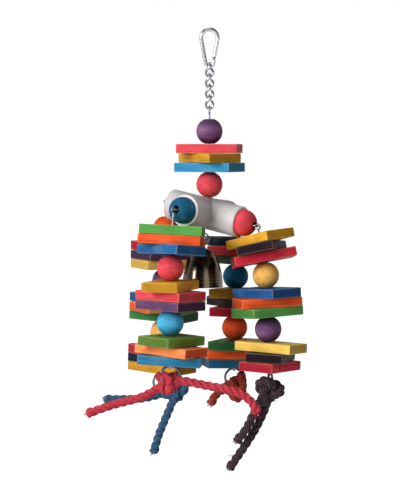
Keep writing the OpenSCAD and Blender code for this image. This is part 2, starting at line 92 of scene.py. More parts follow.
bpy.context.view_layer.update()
print("stage: frame loaded,", len(frame["nodes"]), "nodes")

# Camera
camera = {
    "distance": 2.1,
    "elevation": 3.4,
    "aim": (-0.0115, 0.0, -0.265),
    "lens": 123.9,
    "sensor": 36.0,
    "shiftX": 0.0,
    "shiftY": 0.0,
    "clipStart": 0.05,
    "clipEnd": 40,
}
photo = {"width": 400, "height": 500}


def makeCamera():
    data = bpy.data.cameras.new("photoCamera")
    data.lens = camera["lens"]
    data.sensor_width = camera["sensor"]
    data.sensor_fit = "AUTO"
    data.shift_x = camera["shiftX"]
    data.shift_y = camera["shiftY"]
    data.clip_start = camera["clipStart"]
    data.clip_end = camera["clipEnd"]
    obj = newObject("photoCamera", data)
    tilt = math.radians(camera["elevation"])
    aim = Vector(camera["aim"])
    back = Vector((0, -math.cos(tilt), math.sin(tilt)))
    turn = (-back).to_track_quat("-Z", "Y").to_matrix().to_4x4()
    obj.matrix_world = Matrix.Translation(aim + back * camera["distance"]) @ turn
    scene.camera = obj
    return obj.matrix_world.copy()


cameraMatrix = makeCamera()

# The photograph's own points, in its frame of 400 by 500
imagePoints = {
    "leftSlatEdge": (125.3, None),
    "rightSlatEdge": (304.5, None),
    "hookTop": (None, 28.7),
    "lowestSlatEdge": (None, 375.0),
    "purpleBead": (210.5, 131.4),
    "redBead": (209.1, 185.6),
    "blueMouthBead": (182.6, 210.8),
    "redMouthBead": (247.0, 223.4),
    "strandOneRedBead": (171.4, 267.9),
    "strandOneBlueBead": (171.7, 321.7),
    "strandThreeYellowBead": (264.6, 273.6),
    "strandThreePurpleBead": (269.3, 328.9),
    "strandFourTealBead": (234.3, 277.9),
    "strandFourOrangeBead": (231.4, 329.3),
    "strandTwoOrangeBead": (164.5, 221.8),
    "topRedSlat": (209.4, 148.9),
    "plumFibres": (232.0, 456.0),
    "plumKnotFibres": (276.0, 402.0),
    "redTipFibres": (256.0, 412.0),
}


def rayThrough(x, y):
    long = max(photo["width"], photo["height"])
    direction = Vector((
        x - photo["width"] / 2 + camera["shiftX"] * long,
        photo["height"] / 2 - y + camera["shiftY"] * long,
        -long * camera["lens"] / camera["sensor"],
    ))
    origin = cameraMatrix.translation
    return origin, (cameraMatrix.to_3x3() @ direction).normalized()


def pixelOf(point):
    local = cameraMatrix.inverted() @ Vector(point)
    scale = max(photo["width"], photo["height"]) * camera["lens"] / camera["sensor"]
    return (photo["width"] / 2 + scale * local.x / -local.z,
            photo["height"] / 2 - scale * local.y / -local.z)


# Shared measures
# The route values of part.scad, in millimetres and degrees
toy = {
    "lean": 12.4,
    "leanDirection": -6,
    "rockHeight": -201.394,
    "crossMiddle": -19,
    "armLength": 50.5,
    "mouthBore": 31,
    "mouthEase": 0.6,
    "seatGap": 0.3,
    "beadDiameter": 32,
    "beadHeight": 30,
    "bore": 9.5,
    "slatLength": 75,
    "slatWidth": 45,
    "slatThickness": 11.1,
    "stackGap": 0.3,
    "bendGap": 0.9,
    "bendDepth": 4.5,
    "rollGap": 0.5,
    "ringGap": 0.5,
    "ringWire": 3,
    "ringRadius": 11,
}
# reach counts from the arm's mouth out to the strand's first pivot
strands = {
    1: dict(yaw=-122, reach=24, drop=20.1, upperLean=6.5, lowerLean=0.5, roll=3, ringYaw=0),
    2: dict(yaw=140, reach=16, drop=17.7, upperLean=1, lowerLean=2.7, roll=0, ringYaw=25),
    3: dict(yaw=-32, reach=24, drop=9.6, upperLean=12.8, lowerLean=3, roll=5, ringYaw=75),
    4: dict(yaw=58, reach=24, drop=25, upperLean=-2, lowerLean=-2, roll=0, ringYaw=10),
}
slatPitch = toy["slatThickness"] + toy["stackGap"]
stackHeight = 3 * toy["slatThickness"] + 2 * toy["stackGap"]
beadStep = toy["beadHeight"] + toy["stackGap"]
stackStep = stackHeight + toy["stackGap"]
lowStackTop = toy["bendDepth"] - 2 * beadStep - stackStep - toy["rollGap"]
ringTop = lowStackTop - stackHeight - toy["ringGap"] - toy["ringWire"] / 2
metres = Matrix.Scale(mm, 4)


def turned(degrees, axis):
    return Matrix.Rotation(math.radians(degrees), 4, axis)


def shifted(x, y, z):
    return Matrix.Translation((x, y, z))


def crossPlace():
    angle = math.radians(toy["leanDirection"])
    axis = Vector((-math.sin(angle), math.cos(angle), 0))
    return shifted(0, 0, toy["rockHeight"]) @ turned(toy["lean"], axis)


def armPlace(yaw):
    return crossPlace() @ shifted(0, 0, toy["crossMiddle"]) @ turned(yaw, "Z")


def facing(k):
    angle = math.radians(strands[k]["yaw"])
    out = crossPlace().to_3x3() @ Vector((math.cos(angle), math.sin(angle), 0))
    return math.degrees(math.atan2(out.y, out.x))


def upperPlace(k):
    angle = math.radians(strands[k]["yaw"])
    reach = toy["armLength"] + strands[k]["reach"]
    pivot = crossPlace() @ Vector((reach * math.cos(angle), reach * math.sin(angle), toy["crossMiddle"]))
    return Matrix.Translation(pivot) @ turned(facing(k), "Z") @ turned(-strands[k]["upperLean"], "Y")


def firstStackTop(k):
    return -strands[k]["drop"] - (beadStep if k == 2 else 0)


def lowerPlace(k):
    depth = -firstStackTop(k) + stackHeight + toy["bendGap"] + toy["bendDepth"]
    bend = upperPlace(k) @ Vector((0, 0, -depth))
    return Matrix.Translation(bend) @ turned(facing(k), "Z") @ turned(-strands[k]["lowerLean"], "Y")


def ringMiddle(k):
    return lowerPlace(k) @ Vector((0, 0, ringTop - toy["ringRadius"]))


# Small tools
def colour(code, alpha=1.0):
    parts = [int(code[i:i + 2], 16) / 255 for i in (0, 2, 4)]
    return tuple(p / 12.92 if p <= 0.04045 else ((p + 0.055) / 1.055) ** 2.4 for p in parts) + (alpha,)


def blended(a, b, share):
    return tuple(x + (y - x) * share for x, y in zip(a, b))


def shaded(a, factor):
    return tuple(min(1, x * factor) for x in a[:3]) + (1,)


def feed(tree, socket, value):
    # a socket takes another node's output, or else a plain value
    if isinstance(value, bpy.types.NodeSocket):
        tree.links.new(value, socket)
    else:
        socket.default_value = value


def addNode(tree, kind, inputs=None, **settings):
    node = tree.nodes.new(kind)
    for key, value in settings.items():
        setattr(node, key, value)
    for key, value in (inputs or {}).items():
        feed(tree, node.inputs[key], value)
    return node


def newMaterial(name):
    material = bpy.data.materials.new(name)
    material.use_nodes = True
    tree = material.node_tree
    return material, tree, tree.nodes["Principled BSDF"]


def setShader(tree, shader, inputs):
    for key, value in inputs.items():
        feed(tree, shader.inputs[key], value)


def noiseAt(tree, vector, scale, detail=3.0, roughness=0.55):
    # a scale of three numbers stretches the noise along the piece
    stretch, single = (scale, 1) if isinstance(scale, tuple) else ((1, 1, 1), scale)
    mapping = addNode(tree, "ShaderNodeMapping", {"Vector": vector, "Scale": stretch})
    noise = addNode(tree, "ShaderNodeTexNoise", {
        "Vector": mapping.outputs["Vector"], "Scale": single, "Detail": detail, "Roughness": roughness})
    return noise.outputs["Fac"]


def rampAt(tree, factor, stops):
    ramp = addNode(tree, "ShaderNodeValToRGB", {"Fac": factor})
    elements = ramp.color_ramp.elements
    while len(elements) < len(stops):
        elements.new(0.5)
    for element, (position, value) in zip(elements, stops):
        element.position = position
        element.color = value
    return ramp.outputs["Color"]


def mixAt(tree, factor, a, b, mode="MIX"):
    # sockets 0, 6 and 7 are the factor and the two colours
    mix = addNode(tree, "ShaderNodeMix", {0: factor, 6: a, 7: b}, data_type="RGBA", blend_type=mode)
    return mix.outputs[2]


def rangeAt(tree, value, low, high, fromLow=0.0, fromHigh=1.0):
    node = addNode(tree, "ShaderNodeMapRange", {
        "Value": value, "From Min": fromLow, "From Max": fromHigh, "To Min": low, "To Max": high})
    return node.outputs["Result"]


def mathAt(tree, operation, a, b=0.5, clamp=False):
    node = addNode(tree, "ShaderNodeMath", {0: a, 1: b}, operation=operation, use_clamp=clamp)
    return node.outputs["Value"]


def scaledAt(tree, value, part):
    return mathAt(tree, "MULTIPLY", value, part)


def bumpAt(tree, height, distance, strength=1.0):
    node = addNode(tree, "ShaderNodeBump", {"Height": height, "Distance": distance, "Strength": strength})
    return node.outputs["Normal"]


def objectVector(tree):
    return addNode(tree, "ShaderNodeTexCoord").outputs["Object"]


def objectFrom(bm, name, material):
    mesh = bpy.data.meshes.new(name)
    bm.to_mesh(mesh)
    bm.free()
    mesh.materials.append(material)
    return newObject(name, mesh)


def pieceFrom(bm, name, body, material, nodes=(), slot=None, smoothAngle=35, recalc=True):
    if recalc:
        bmesh.ops.recalc_face_normals(bm, faces=bm.faces)
    for face in bm.faces:
        face.smooth = True
    limit = math.radians(smoothAngle)
    for edge in bm.edges:
        if len(edge.link_faces) == 2:
            edge.smooth = edge.calc_face_angle(0) < limit
    obj = objectFrom(bm, name, material)
    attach(obj, body)
    if nodes:
        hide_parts(*nodes)
    return obj


def bodyOf(node):
    return frame["nodes"][node]["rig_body"]


def toMetres(bm):
    bmesh.ops.scale(bm, vec=(mm, mm, mm), verts=bm.verts)


def capital(word):
    return word[0].upper() + word[1:]


def eased(t):
    # from 0 to 1, slow at both ends
    t = max(0, min(1, t))
    return t * t * (3 - 2 * t)


def spunProfile(profile, steps, closed):
    # a line of points spun round the Z axis
    bm = bmesh.new()
    verts = [bm.verts.new(p) for p in profile]
    nexts = verts[1:] + (verts[:1] if closed else [])
    edges = [bm.edges.new(pair) for pair in zip(verts, nexts)]
    bmesh.ops.spin(bm, geom=verts + edges, cent=(0, 0, 0), axis=zAxis, angle=2 * math.pi,
                   steps=steps, use_merge=True)
    return bm


def ringOf(bm, middle, side, up, angles, radiusAt):
    return [bm.verts.new(middle + (side * math.cos(a) + up * math.sin(a)) * radiusAt(a)) for a in angles]


def skinRings(bm, rings, closed=False):
    # faces between neighbouring rings of vertices, in rows, and over the two open ends
    pairs = list(zip(rings, rings[1:])) + ([(rings[-1], rings[0])] if closed else [])
    rows = []
    for low, high in pairs:
        beside = [(j, (j + 1) % len(low)) for j in range(len(low))]
        rows.append([bm.faces.new((low[j], low[k], high[k], high[j])) for j, k in beside])
    ends = [] if closed else [bm.faces.new(rings[0][::-1]), bm.faces.new(rings[-1])]
    return rows, ends


# Ropes
ropes = {
    "diameter": 10,
    "skin": 10.9,         # across the laid strands at their widest, over the plain tube
    "lay": 27.0,          # length of one full turn of the strands
    "strandOffset": 0.225,      # middle and radius of a laid strand, as shares of the rope's width
    "strandRadius": 0.275,
    "sides": 30,
    "step": 1.1,
    "phase": 0.7,         # turn of the lay from one strand's rope to the next
    "fibre": 0.16,
}
ropeDyes = {
    1: ("c4263c", "rope_red"),
    2: ("105276", "rope_blue"),
    3: ("281a26", "rope_plum"),
    4: ("9c2a14", "rope_rust"),
}
tails = {
    "ropeRedLeft": dict(strand=1, points=[
        (-50, -66, -419), (-62, -68, -426), (-82, -70, -436), (-116, -72, -445), (-146, -74, -455)]),
    "ropeRedRight": dict(strand=1, points=[
        (-44, -68, -416), (-30, -73, -416), (-8, -77, -420), (20, -81, -425), (40, -83, -432),
        (51, -84, -442), (56, -85, -453)]),
    "ropeBlueLeft": dict(strand=2, points=[
        (-50, 43, -445), (-64, 41, -449), (-86, 36, -453), (-112, 32, -453), (-131, 30, -453)]),
    "ropeBlueDown": dict(strand=2, points=[
        (-44, 44, -448), (-47, 43, -460), (-54, 42, -477), (-63, 42, -499), (-70, 42, -523)]),
    "ropePlumShort": dict(strand=3, points=[
        (64, -55, -436), (57, -59, -448), (50, -60, -462), (43, -60, -476), (31, -61, -491)]),
    "ropePlumLong": dict(strand=3, points=[
        (70, -52, -438), (66, -50, -453), (55, -48, -477), (40, -48, -501), (23, -48, -526)]),
    "ropeRust": dict(strand=4, points=[
        (40, 50, -422), (41, 52, -434), (34, 52, -443), (26, 52, -445), (16, 51, -445), (8, 50, -451),
        (1, 49, -463)]),
}
splineSteps = 24


def splinePoint(p, q, r, s, t):
    return 0.5 * (2 * q + (r - p) * t + (2 * p - 5 * q + 4 * r - s) * t * t
                  + (3 * q - p - 3 * r + s) * t ** 3)


def smoothRoute(points, step, closed=False):
    # even steps along a smooth line through the points
    points = [Vector(p) for p in points]
    count = len(points)
    dense = []
    for i in range(count if closed else count - 1):
        if closed:
            four = [points[(i + j) % count] for j in (-1, 0, 1, 2)]
        else:
            four = [points[max(i - 1, 0)], points[i], points[i + 1], points[min(i + 2, count - 1)]]
        dense += [splinePoint(*four, t / splineSteps) for t in range(splineSteps)]
    dense.append(points[0] if closed else points[-1])
    reach = [0.0]
    for a, b in zip(dense, dense[1:]):
        reach.append(reach[-1] + (b - a).length)
    pieces = max(2, round(reach[-1] / step))
    route, i = [], 0
    for n in range(pieces + (0 if closed else 1)):
        want = reach[-1] * n / pieces
        while i < len(reach) - 2 and reach[i + 1] < want:
            i += 1
        share = (want - reach[i]) / max(reach[i + 1] - reach[i], 1e-9)
        route.append(dense[i].lerp(dense[i + 1], min(1, share)))
    return route, reach[-1]


def carriedFrames(route, closed=False):
    # sideways directions that turn as little as they can along the route
    count = len(route)
    ahead = []
    for i in range(count):
        a = route[(i - 1) % count] if closed or i > 0 else route[i]
        b = route[(i + 1) % count] if closed or i < count - 1 else route[i]
        ahead.append((b - a).normalized())
    side = ahead[0].orthogonal().normalized()
    sides = []
    for direction in ahead:
        side = (side - direction * side.dot(direction)).normalized()
        sides.append(side.copy())
    if closed:
        last = (sides[-1] - ahead[0] * sides[-1].dot(ahead[0])).normalized()
        angle = math.atan2(ahead[0].dot(last.cross(sides[0])), last.dot(sides[0]))
        sides = [Matrix.Rotation(angle * i / count, 3, d) @ v for i, (d, v) in enumerate(zip(ahead, sides))]
    return list(zip(ahead, sides))


def laidRadius(angle, diameter):
    # outline of three strands laid together, at an angle round the rope
    offset, strand = ropes["strandOffset"] * diameter, ropes["strandRadius"] * diameter
    third = 2 * math.pi / 3
    local = (angle + third / 2) % third - third / 2
    return offset * math.cos(local) + math.sqrt(strand ** 2 - (offset * math.sin(local)) ** 2)


def roundAngles(sides):
    return [2 * math.pi * j / sides for j in range(sides)]


def addRope(bm, route, diameter, closed=False, swell=None, phase=0.0):
    # one twisted rope: a skin of rings whose three lobes turn along the route
    uv = bm.loops.layers.uv.verify()
    sides, lay = ropes["sides"], ropes["lay"]
    length = sum((b - a).length for a, b in zip(route, route[1:]))
    if closed:
        length += (route[0] - route[-1]).length
        lay = length / max(1, round(length / lay * 3)) * 3
    rings, places, along = [], [], 0.0
    for i, (middle, (ahead, side)) in enumerate(zip(route, carriedFrames(route, closed))):
        if i:
            along += (middle - route[i - 1]).length
        grow = swell(along, length) if swell else 1.0
        twist = 2 * math.pi * along / lay + phase
        rings.append(ringOf(bm, middle, side, ahead.cross(side), roundAngles(sides),
                            lambda angle: laidRadius(angle - twist, diameter) * grow))
        places.append(along)
    rows, ends = skinRings(bm, rings, closed)
    for row, (a, b) in zip(rows, zip(places, places[1:] + [length])):
        for j, face in enumerate(row):
            for loop, (s, t) in zip(face.loops, ((a, j), (a, j + 1), (b, j + 1), (b, j))):
                loop[uv].uv = (s / lay, t / sides)
    for face, at in zip(ends, (places[0], places[-1])):
        for loop in face.loops:
            loop[uv].uv = (at / lay, 0.5)


# a tail's wrapped end, in millimetres back from its tip
ropeEnd = {"wrapped": 10, "rise": 3, "swell": 0.13, "tip": 2, "roundness": 0.75, "least": 0.12}


def endSwell(along, length):
    # a little thicker where the end is wrapped, and rounded off
    left = length - along
    thick = 1 + ropeEnd["swell"] * max(0, min(1, (ropeEnd["wrapped"] - left) / ropeEnd["rise"]))
    into = max(0, (ropeEnd["tip"] - left) / ropeEnd["tip"])
    return thick * math.sqrt(max(ropeEnd["least"], 1 - into ** 2 * ropeEnd["roundness"]))


# one stray fibre: a thin three-sided tube that tapers and droops
fibreShape = {
    "rings": 5,
    "angles": (0, 2.1, 4.2),
    "taper": 0.75,
    "droop": 0.05,        # over a length of droopOver
    "droopOver": 10,
    "across": 0.3,        # its place across the rope's pattern
}


def addFibre(bm, start, direction, length, bend, width, seed):
    uv = bm.loops.layers.uv.verify()
    steps = fibreShape["rings"]
    side = direction.orthogonal().normalized()
    droop = -zAxis * fibreShape["droop"] * length / fibreShape["droopOver"] / steps
    point, ahead = start.copy(), direction.normalized()
    rings = []
    for i in range(steps + 1):
        thin = width * (1 - fibreShape["taper"] * i / steps)
        rings.append(ringOf(bm, point, side, ahead.cross(side).normalized(), fibreShape["angles"],
                            lambda angle: thin))
        ahead = (ahead + bend * (1 / steps) + droop).normalized()
        side = (side - ahead * side.dot(ahead)).normalized()
        point += ahead * length / steps
    for row in skinRings(bm, rings)[0]:
        for face in row:
            for loop in face.loops:
                loop[uv].uv = (seed, fibreShape["across"])


ropeCloth = {
    "yarns": (9, 27, 1),      # yarns run round the strands, against the lay
    "waves": {"Scale": 0.32, "Distortion": 2.2, "Detail": 3.0, "Detail Scale": 2.5},
    "fuzz": 1400,
    "patches": 90,
    "twistShare": 0.6,
    "fuzzShare": 0.4,
    "stops": (0.18, 0.5, 0.82),      # painted shade in the grooves, plain, pale flecks with a painted highlight on the crests
    # how dark the painted shade in the grooves is
    "grooveShade": 0.42,
    "fleck": "e9c8c0",
    "fleckHighlight": 1.25,
    "fleckShare": 0.16,
    "faded": 0.72,
    "fadedMost": 0.45,
    "fadedFrom": (0.4, 0.75),
    "roughness": (0.78, 0.98),
    "specular": 0.08,
    "sheen": 0.08,
    "sheenRoughness": 0.5,
    "bump": (0.0006, 0.8),
}


def ropeMaterial(name, code):
    material, tree, shader = newMaterial(name)
    base = colour(code)
    uv = addNode(tree, "ShaderNodeUVMap").outputs["UV"]
    yarn = addNode(tree, "ShaderNodeMapping", {"Vector": uv, "Scale": ropeCloth["yarns"]}).outputs["Vector"]
    waves = addNode(tree, "ShaderNodeTexWave", {"Vector": yarn, **ropeCloth["waves"]},
                    wave_type="BANDS", bands_direction="DIAGONAL").outputs["Fac"]
    where = objectVector(tree)
    fuzz = noiseAt(tree, where, ropeCloth["fuzz"], detail=5)
    patch = noiseAt(tree, where, ropeCloth["patches"])
    mixed = mathAt(tree, "ADD", scaledAt(tree, waves, ropeCloth["twistShare"]),
                   scaledAt(tree, fuzz, ropeCloth["fuzzShare"]))
    # painted shade and highlight: the sunken parts of the yarn pattern, where the bump dips, are darker, the
    # raised crests lighter, with pale fibre flecks blended in
    grooveShade = shaded(base, ropeCloth["grooveShade"])
    light = shaded(base, ropeCloth["fleckHighlight"])
    fleck = blended(light, colour(ropeCloth["fleck"]), ropeCloth["fleckShare"])
    tone = rampAt(tree, mixed, list(zip(ropeCloth["stops"], (grooveShade, base, fleck))))
    worn = rangeAt(tree, patch, 0.0, ropeCloth["fadedMost"], *ropeCloth["fadedFrom"])
    tone = mixAt(tree, worn, tone, shaded(base, ropeCloth["faded"]))
    setShader(tree, shader, {
        "Base Color": tone,
        "Roughness": rangeAt(tree, fuzz, *ropeCloth["roughness"]),
        "Specular IOR Level": ropeCloth["specular"],
        "Sheen Weight": ropeCloth["sheen"],
        "Sheen Roughness": ropeCloth["sheenRoughness"],
        "Normal": bumpAt(tree, mixed, *ropeCloth["bump"]),
    })
    return material


ropeLooks = {k: ropeMaterial(f"rope{k}Twist", code) for k, (code, slot) in ropeDyes.items()}
fibreDraw = random.Random(11)
knotPoints = 36


def ropePiece(bm, name, k, nodes, smoothAngle=60):
    toMetres(bm)
    return pieceFrom(bm, name, f"strand_{k}_ring", ropeLooks[k],
                     nodes=nodes, slot=ropeDyes[k][1], smoothAngle=smoothAngle)


def trefoil(size):
    # the line of an overhand knot pulled tight
    for i in range(knotPoints):
        t = 2 * math.pi * i / knotPoints
        yield Vector((
            size[0] * (math.sin(t) + 2 * math.sin(2 * t)) / 3,
            size[1] * -math.sin(3 * t),
            size[2] * (math.cos(t) - 2 * math.cos(2 * t)) / 3))


knots = {
    1: dict(middle=(-49, -66, -418), size=(13.0, 5.0, 11.0), turn=(0, 8, -12)),
    2: dict(middle=(-41, 44, -444), size=(13.0, 5.0, 10.0), turn=(4, -14, 10)),
    3: dict(middle=(71, -53, -430), size=(14.5, 5.6, 14.5), turn=(-6, 20, 12)),
    4: dict(middle=(33, 52, -442), size=(14.0, 5.4, 13.5), turn=(6, -25, -8)),
}
# the bight goes from the knot up beside the ring's wire and over it
bightShape = {
    "slack": 0.3,
    "thin": 0.95,
    "knotSide": 7,
    "knotDrop": 4,
    "wireBelow": 5,
    "wireAbove": 1,
    "shoulderSide": 0.62,     # these three are shares of the bight's half width
    "shoulderRise": 0.85,
    "topRise": 1.05,
}


def bightRoute(k, middle):
    foot = ringMiddle(k) - zAxis * toy["ringRadius"]
    angle = math.radians(strands[k]["ringYaw"])
    across = Vector((-math.sin(angle), math.cos(angle), 0))
    if across.y > 0:
        across.negate()
    half = toy["ringWire"] / 2 + ropes["skin"] / 2 + bightShape["slack"]

    def oneSide(way):
        return [
            middle + way * bightShape["knotSide"] - zAxis * bightShape["knotDrop"],
            foot + way * half - zAxis * bightShape["wireBelow"],
            foot + way * half + zAxis * bightShape["wireAbove"],
            foot + way * half * bightShape["shoulderSide"] + zAxis * (half * bightShape["shoulderRise"])]

    return oneSide(across) + [foot + zAxis * half * bightShape["topRise"]] + oneSide(-across)[::-1]


def makeKnot(k):
    bm = bmesh.new()
    middle = Vector(knots[k]["middle"])
    x, y, z = knots[k]["turn"]
    place = Matrix.Translation(middle) @ turned(z, "Z") @ turned(y, "Y") @ turned(x, "X")
    loop = smoothRoute([place @ p for p in trefoil(knots[k]["size"])], ropes["step"], closed=True)[0]
    addRope(bm, loop, ropes["skin"], closed=True)
    bight = smoothRoute(bightRoute(k, middle), ropes["step"])[0]
    addRope(bm, bight, ropes["skin"] * bightShape["thin"])
    return ropePiece(bm, f"ropeKnot{k}", k, [f"strand_{k}_rope"])


# fibres at the cut ends, then the stray ones along the rope
frayShape = {
    "count": 26,
    "round": 6.28,
    "outwards": (0.4, 3.4),
    "sunk": 1.0,
    "flare": (0.05, 0.5),
    "bend": 0.4,
    "long": (2.5, 6.0),
    "thick": 1.3,
    "toneStep": 0.1,
    "strayLean": 0.7,
    "strayBend": 1.2,
    "strayShort": 0.5,
    "straySunk": 0.5,
    "strayAlong": (0.1, 0.97),
    "strayOut": 0.4,
    "strayToneStep": 0.07,
}


def anyWay(spread):
    return Vector([fibreDraw.uniform(-spread, spread) for _ in range(3)])


def sideways(ahead):
    turn = Matrix.Rotation(fibreDraw.uniform(0, frayShape["round"]), 3, ahead)
    return turn @ ahead.orthogonal().normalized()


def frayedFibres(k, ends, spots):
    bm = bmesh.new()
    for end, ahead in ends:
        for i in range(frayShape["count"]):
            out = sideways(ahead)
            start = end + out * fibreDraw.uniform(*frayShape["outwards"]) - ahead * frayShape["sunk"]
            way = (ahead + out * fibreDraw.uniform(*frayShape["flare"])).normalized()
            bend = anyWay(frayShape["bend"])
            long = fibreDraw.uniform(*frayShape["long"])
            addFibre(bm, start, way, long, bend, ropes["fibre"] * frayShape["thick"],
                     i * frayShape["toneStep"])
    for start, out, count, most in spots:
        for i in range(count):
            way = (out + anyWay(frayShape["strayLean"])).normalized()
            bend = anyWay(frayShape["strayBend"])
            long = fibreDraw.uniform(frayShape["strayShort"], 1.0) * most
            addFibre(bm, start - out * frayShape["straySunk"], way, long, bend, ropes["fibre"],
                     i * frayShape["strayToneStep"])
    return ropePiece(bm, f"ropeFray{k}", k, [], smoothAngle=80)


def makeTail(name, values):
    k = values["strand"]
    route, length = smoothRoute(values["points"], ropes["step"])
    bm = bmesh.new()
    addRope(bm, route, ropes["skin"], swell=endSwell, phase=ropes["phase"] * k)
    piece = ropePiece(bm, name, k, [f"strand_{k}_rope"])
    values.update(route=route, length=length, piece=piece)


for ropeName, ropeValues in tails.items():
    makeTail(ropeName, ropeValues)
knotPieces = {k: makeKnot(k) for k in knots}
print("stage: ropes and knots")


# Dyed wood
dyes = {
    "red": ("e04a54", "wood_red"),
    "crimson": ("c6253a", "wood_red"),
    "deepRed": ("c8303a", "wood_red"),
    "orange": ("e85626", "wood_orange"),
    "peach": ("ff8c50", "wood_orange"),
    "mustard": ("c08a26", "wood_mustard"),
    "yellow": ("dca02a", "wood_yellow"),
    "lemon": ("ecc25a", "wood_yellow"),
    "green": ("57a04a", "wood_dyed_mixed"),
    "leaf": ("6a8f3c", "wood_dyed_mixed"),
    "forest": ("2f6f3c", "wood_dyed_mixed"),
    "skyBlue": ("3088b4", "wood_light_blue"),
    "lightBlue": ("4cb0dc", "wood_light_blue"),
    "lakeBlue": ("25769e", "wood_light_blue"),
    "blue": ("1f5f94", "wood_blue"),
    "royal": ("1f5690", "wood_blue"),
    "navy": ("14263c", "wood_blue"),
    "teal": ("1c6488", "wood_teal"),
    "purple": ("704a74", "wood_purple"),
    "violet": ("5c3c60", "wood_purple"),
    "plum": ("241623", "wood_purple"),
    "darkGreen": ("243a22", "wood_dyed_mixed"),
    "amber": ("e8b45c", "wood_yellow"),
}
# some slats' end faces take a colour of their own: near-black painted shade on the violet ends, a deeper red
# on the peach ends
endColoursAndShade = {"peach": "b02c14", "violet": "241826"}
# how much darker a bead turns towards its bored ends: partly dye soaked into the end grain, partly painted
# shade on its top and bottom
beadSoakAndShade = {"purple": 0.8, "lightBlue": 0.7, "other": 0.3}
woodFinish = {
    "bands": (9, 170, 260),
    "fibres": (70, 1500, 2200),
    "patches": (35, 55, 55),
    "bandShare": 0.55,
    "fibreShare": 0.45,
    "stops": (0.34, 0.47, 0.55, 0.68),        # dark fibre, plain twice, light fibre
    "darkFibre": 0.5,
    "lightFibre": 1.15,
    "darkPatch": 0.62,
    "darkPatches": (0.0, 0.5, 0.45, 0.7),     # least and most, and the noise between
    "fadedPatches": (0.25, 0.0, 0.28, 0.45),
    "rubbedFibres": (0.05, 0.6, 0.35, 0.65),
    # end faces: darker end grain, deepened further as painted shade
    "darkEndGrainAndShade": 0.45,
    "endGrainAndShadeShare": 0.75,
    # painted shade, with some dye soak, towards a bead's top and bottom
    "darkSoakAndShade": 0.3,
    "bare": ("f0c89a", 0.07),     # undyed wood in the light fibres,
    "faded": ("f6d8a8", 0.25),    # where the dye has faded
    "rubbed": ("e8c090", 0.4),    # and where edges are rubbed
    "roughness": (0.44, 0.7, 0.3, 0.7),
    "specular": 0.06,
    "bump": (0.00035, 0.7),
}


def dyedWood(name, dye):
    # dye soaks in unevenly: long fibres, wider growth bands, patches, darker end grain; the slat ends and a
    # bead's top and bottom are darkened further as painted shade
    material, tree, shader = newMaterial(name)
    base = colour(dyes[dye][0])
    marks = {layer: addNode(tree, "ShaderNodeAttribute", attribute_name=layer).outputs
             for layer in ("grain", "worn", "endGrain", "soakedAndShaded")}
    where = marks["grain"]["Vector"]
    bands = noiseAt(tree, where, woodFinish["bands"])
    fibres = noiseAt(tree, where, woodFinish["fibres"], detail=4, roughness=0.65)
    patches = noiseAt(tree, where, woodFinish["patches"], detail=2)
    mixed = mathAt(tree, "ADD", scaledAt(tree, bands, woodFinish["bandShare"]),
                   scaledAt(tree, fibres, woodFinish["fibreShare"]))

    def undyed(start, look):
        code, part = woodFinish[look]
        return blended(start, colour(code), part)

    dark = shaded(base, woodFinish["darkFibre"])
    light = undyed(shaded(base, woodFinish["lightFibre"]), "bare")
    # end faces: end grain that takes more dye, deepened as painted shade; some dyes' ends take a colour of
    # their own
    ends = colour(endColoursAndShade[dye]) if dye in endColoursAndShade else shaded(base, woodFinish["darkEndGrainAndShade"])
    rub = rangeAt(tree, fibres, *woodFinish["rubbedFibres"])
    tone = rampAt(tree, mixed, list(zip(woodFinish["stops"], (dark, base, base, light))))
    for factor, over in (
            (rangeAt(tree, patches, *woodFinish["darkPatches"]), shaded(base, woodFinish["darkPatch"])),
            (rangeAt(tree, patches, *woodFinish["fadedPatches"]), undyed(base, "faded")),
            (scaledAt(tree, marks["endGrain"]["Fac"], woodFinish["endGrainAndShadeShare"]), ends),
            (marks["soakedAndShaded"]["Fac"], shaded(base, woodFinish["darkSoakAndShade"])),
            (mathAt(tree, "MULTIPLY", marks["worn"]["Fac"], rub), undyed(base, "rubbed"))):
        tone = mixAt(tree, factor, tone, over)
    setShader(tree, shader, {
        "Base Color": tone,
        "Roughness": rangeAt(tree, fibres, *woodFinish["roughness"]),
        "Specular IOR Level": woodFinish["specular"],
        "Normal": bumpAt(tree, mixed, *woodFinish["bump"]),
    })
    return material


woodLooks = {dye: dyedWood(f"wood{capital(dye)}", dye) for dye in dyes}
woodDraw = random.Random(5)
slatShape = {
    "cuts": 7,
    "boreSides": 32,
    "sharp": 0.8,         # edges that bend more than this, in radians, are eased
    "ease": 1.0,
    "easeSteps": 3,
    "rimEase": 0.5,
    "rimSteps": 2,
    "saw": 0.22,
    "sawRange": (-1, 0.2),
    "endFacing": 0.9,     # end grain looks along the slat at least this squarely,
    "endDepth": 0.6,      # from this share of the eased edge outwards
    "wornFacing": 0.97,   # rubbed edges look along no axis as squarely as this
}


def markWood(bm, offset, ends, worn, soakedAndShaded):
    # the piece's own coordinates, kept as attributes for the grain to follow
    grain = bm.verts.layers.float_vector.new("grain")
    soakShadeLayer = bm.verts.layers.float.new("soakedAndShaded")
    for vert in bm.verts:
        vert[grain] = vert.co * mm + offset
        vert[soakShadeLayer] = soakedAndShaded(vert)
    endLayer = bm.faces.layers.float.new("endGrain")
    wornLayer = bm.faces.layers.float.new("worn")
    for face in bm.faces:
        face[endLayer] = 1.0 if ends(face) else 0.0
        face[wornLayer] = 1.0 if worn(face) else 0.0


def woodPiece(bm, name, node, place, dye):
    bmesh.ops.transform(bm, matrix=metres @ place, verts=bm.verts)
    return pieceFrom(bm, name, bodyOf(node), woodLooks[dye], nodes=[node], slot=dyes[dye][1])


def woodOffset():
    # each piece is cut from another place in the plank
    return Vector([woodDraw.uniform(-1, 1) for _ in range(3)])


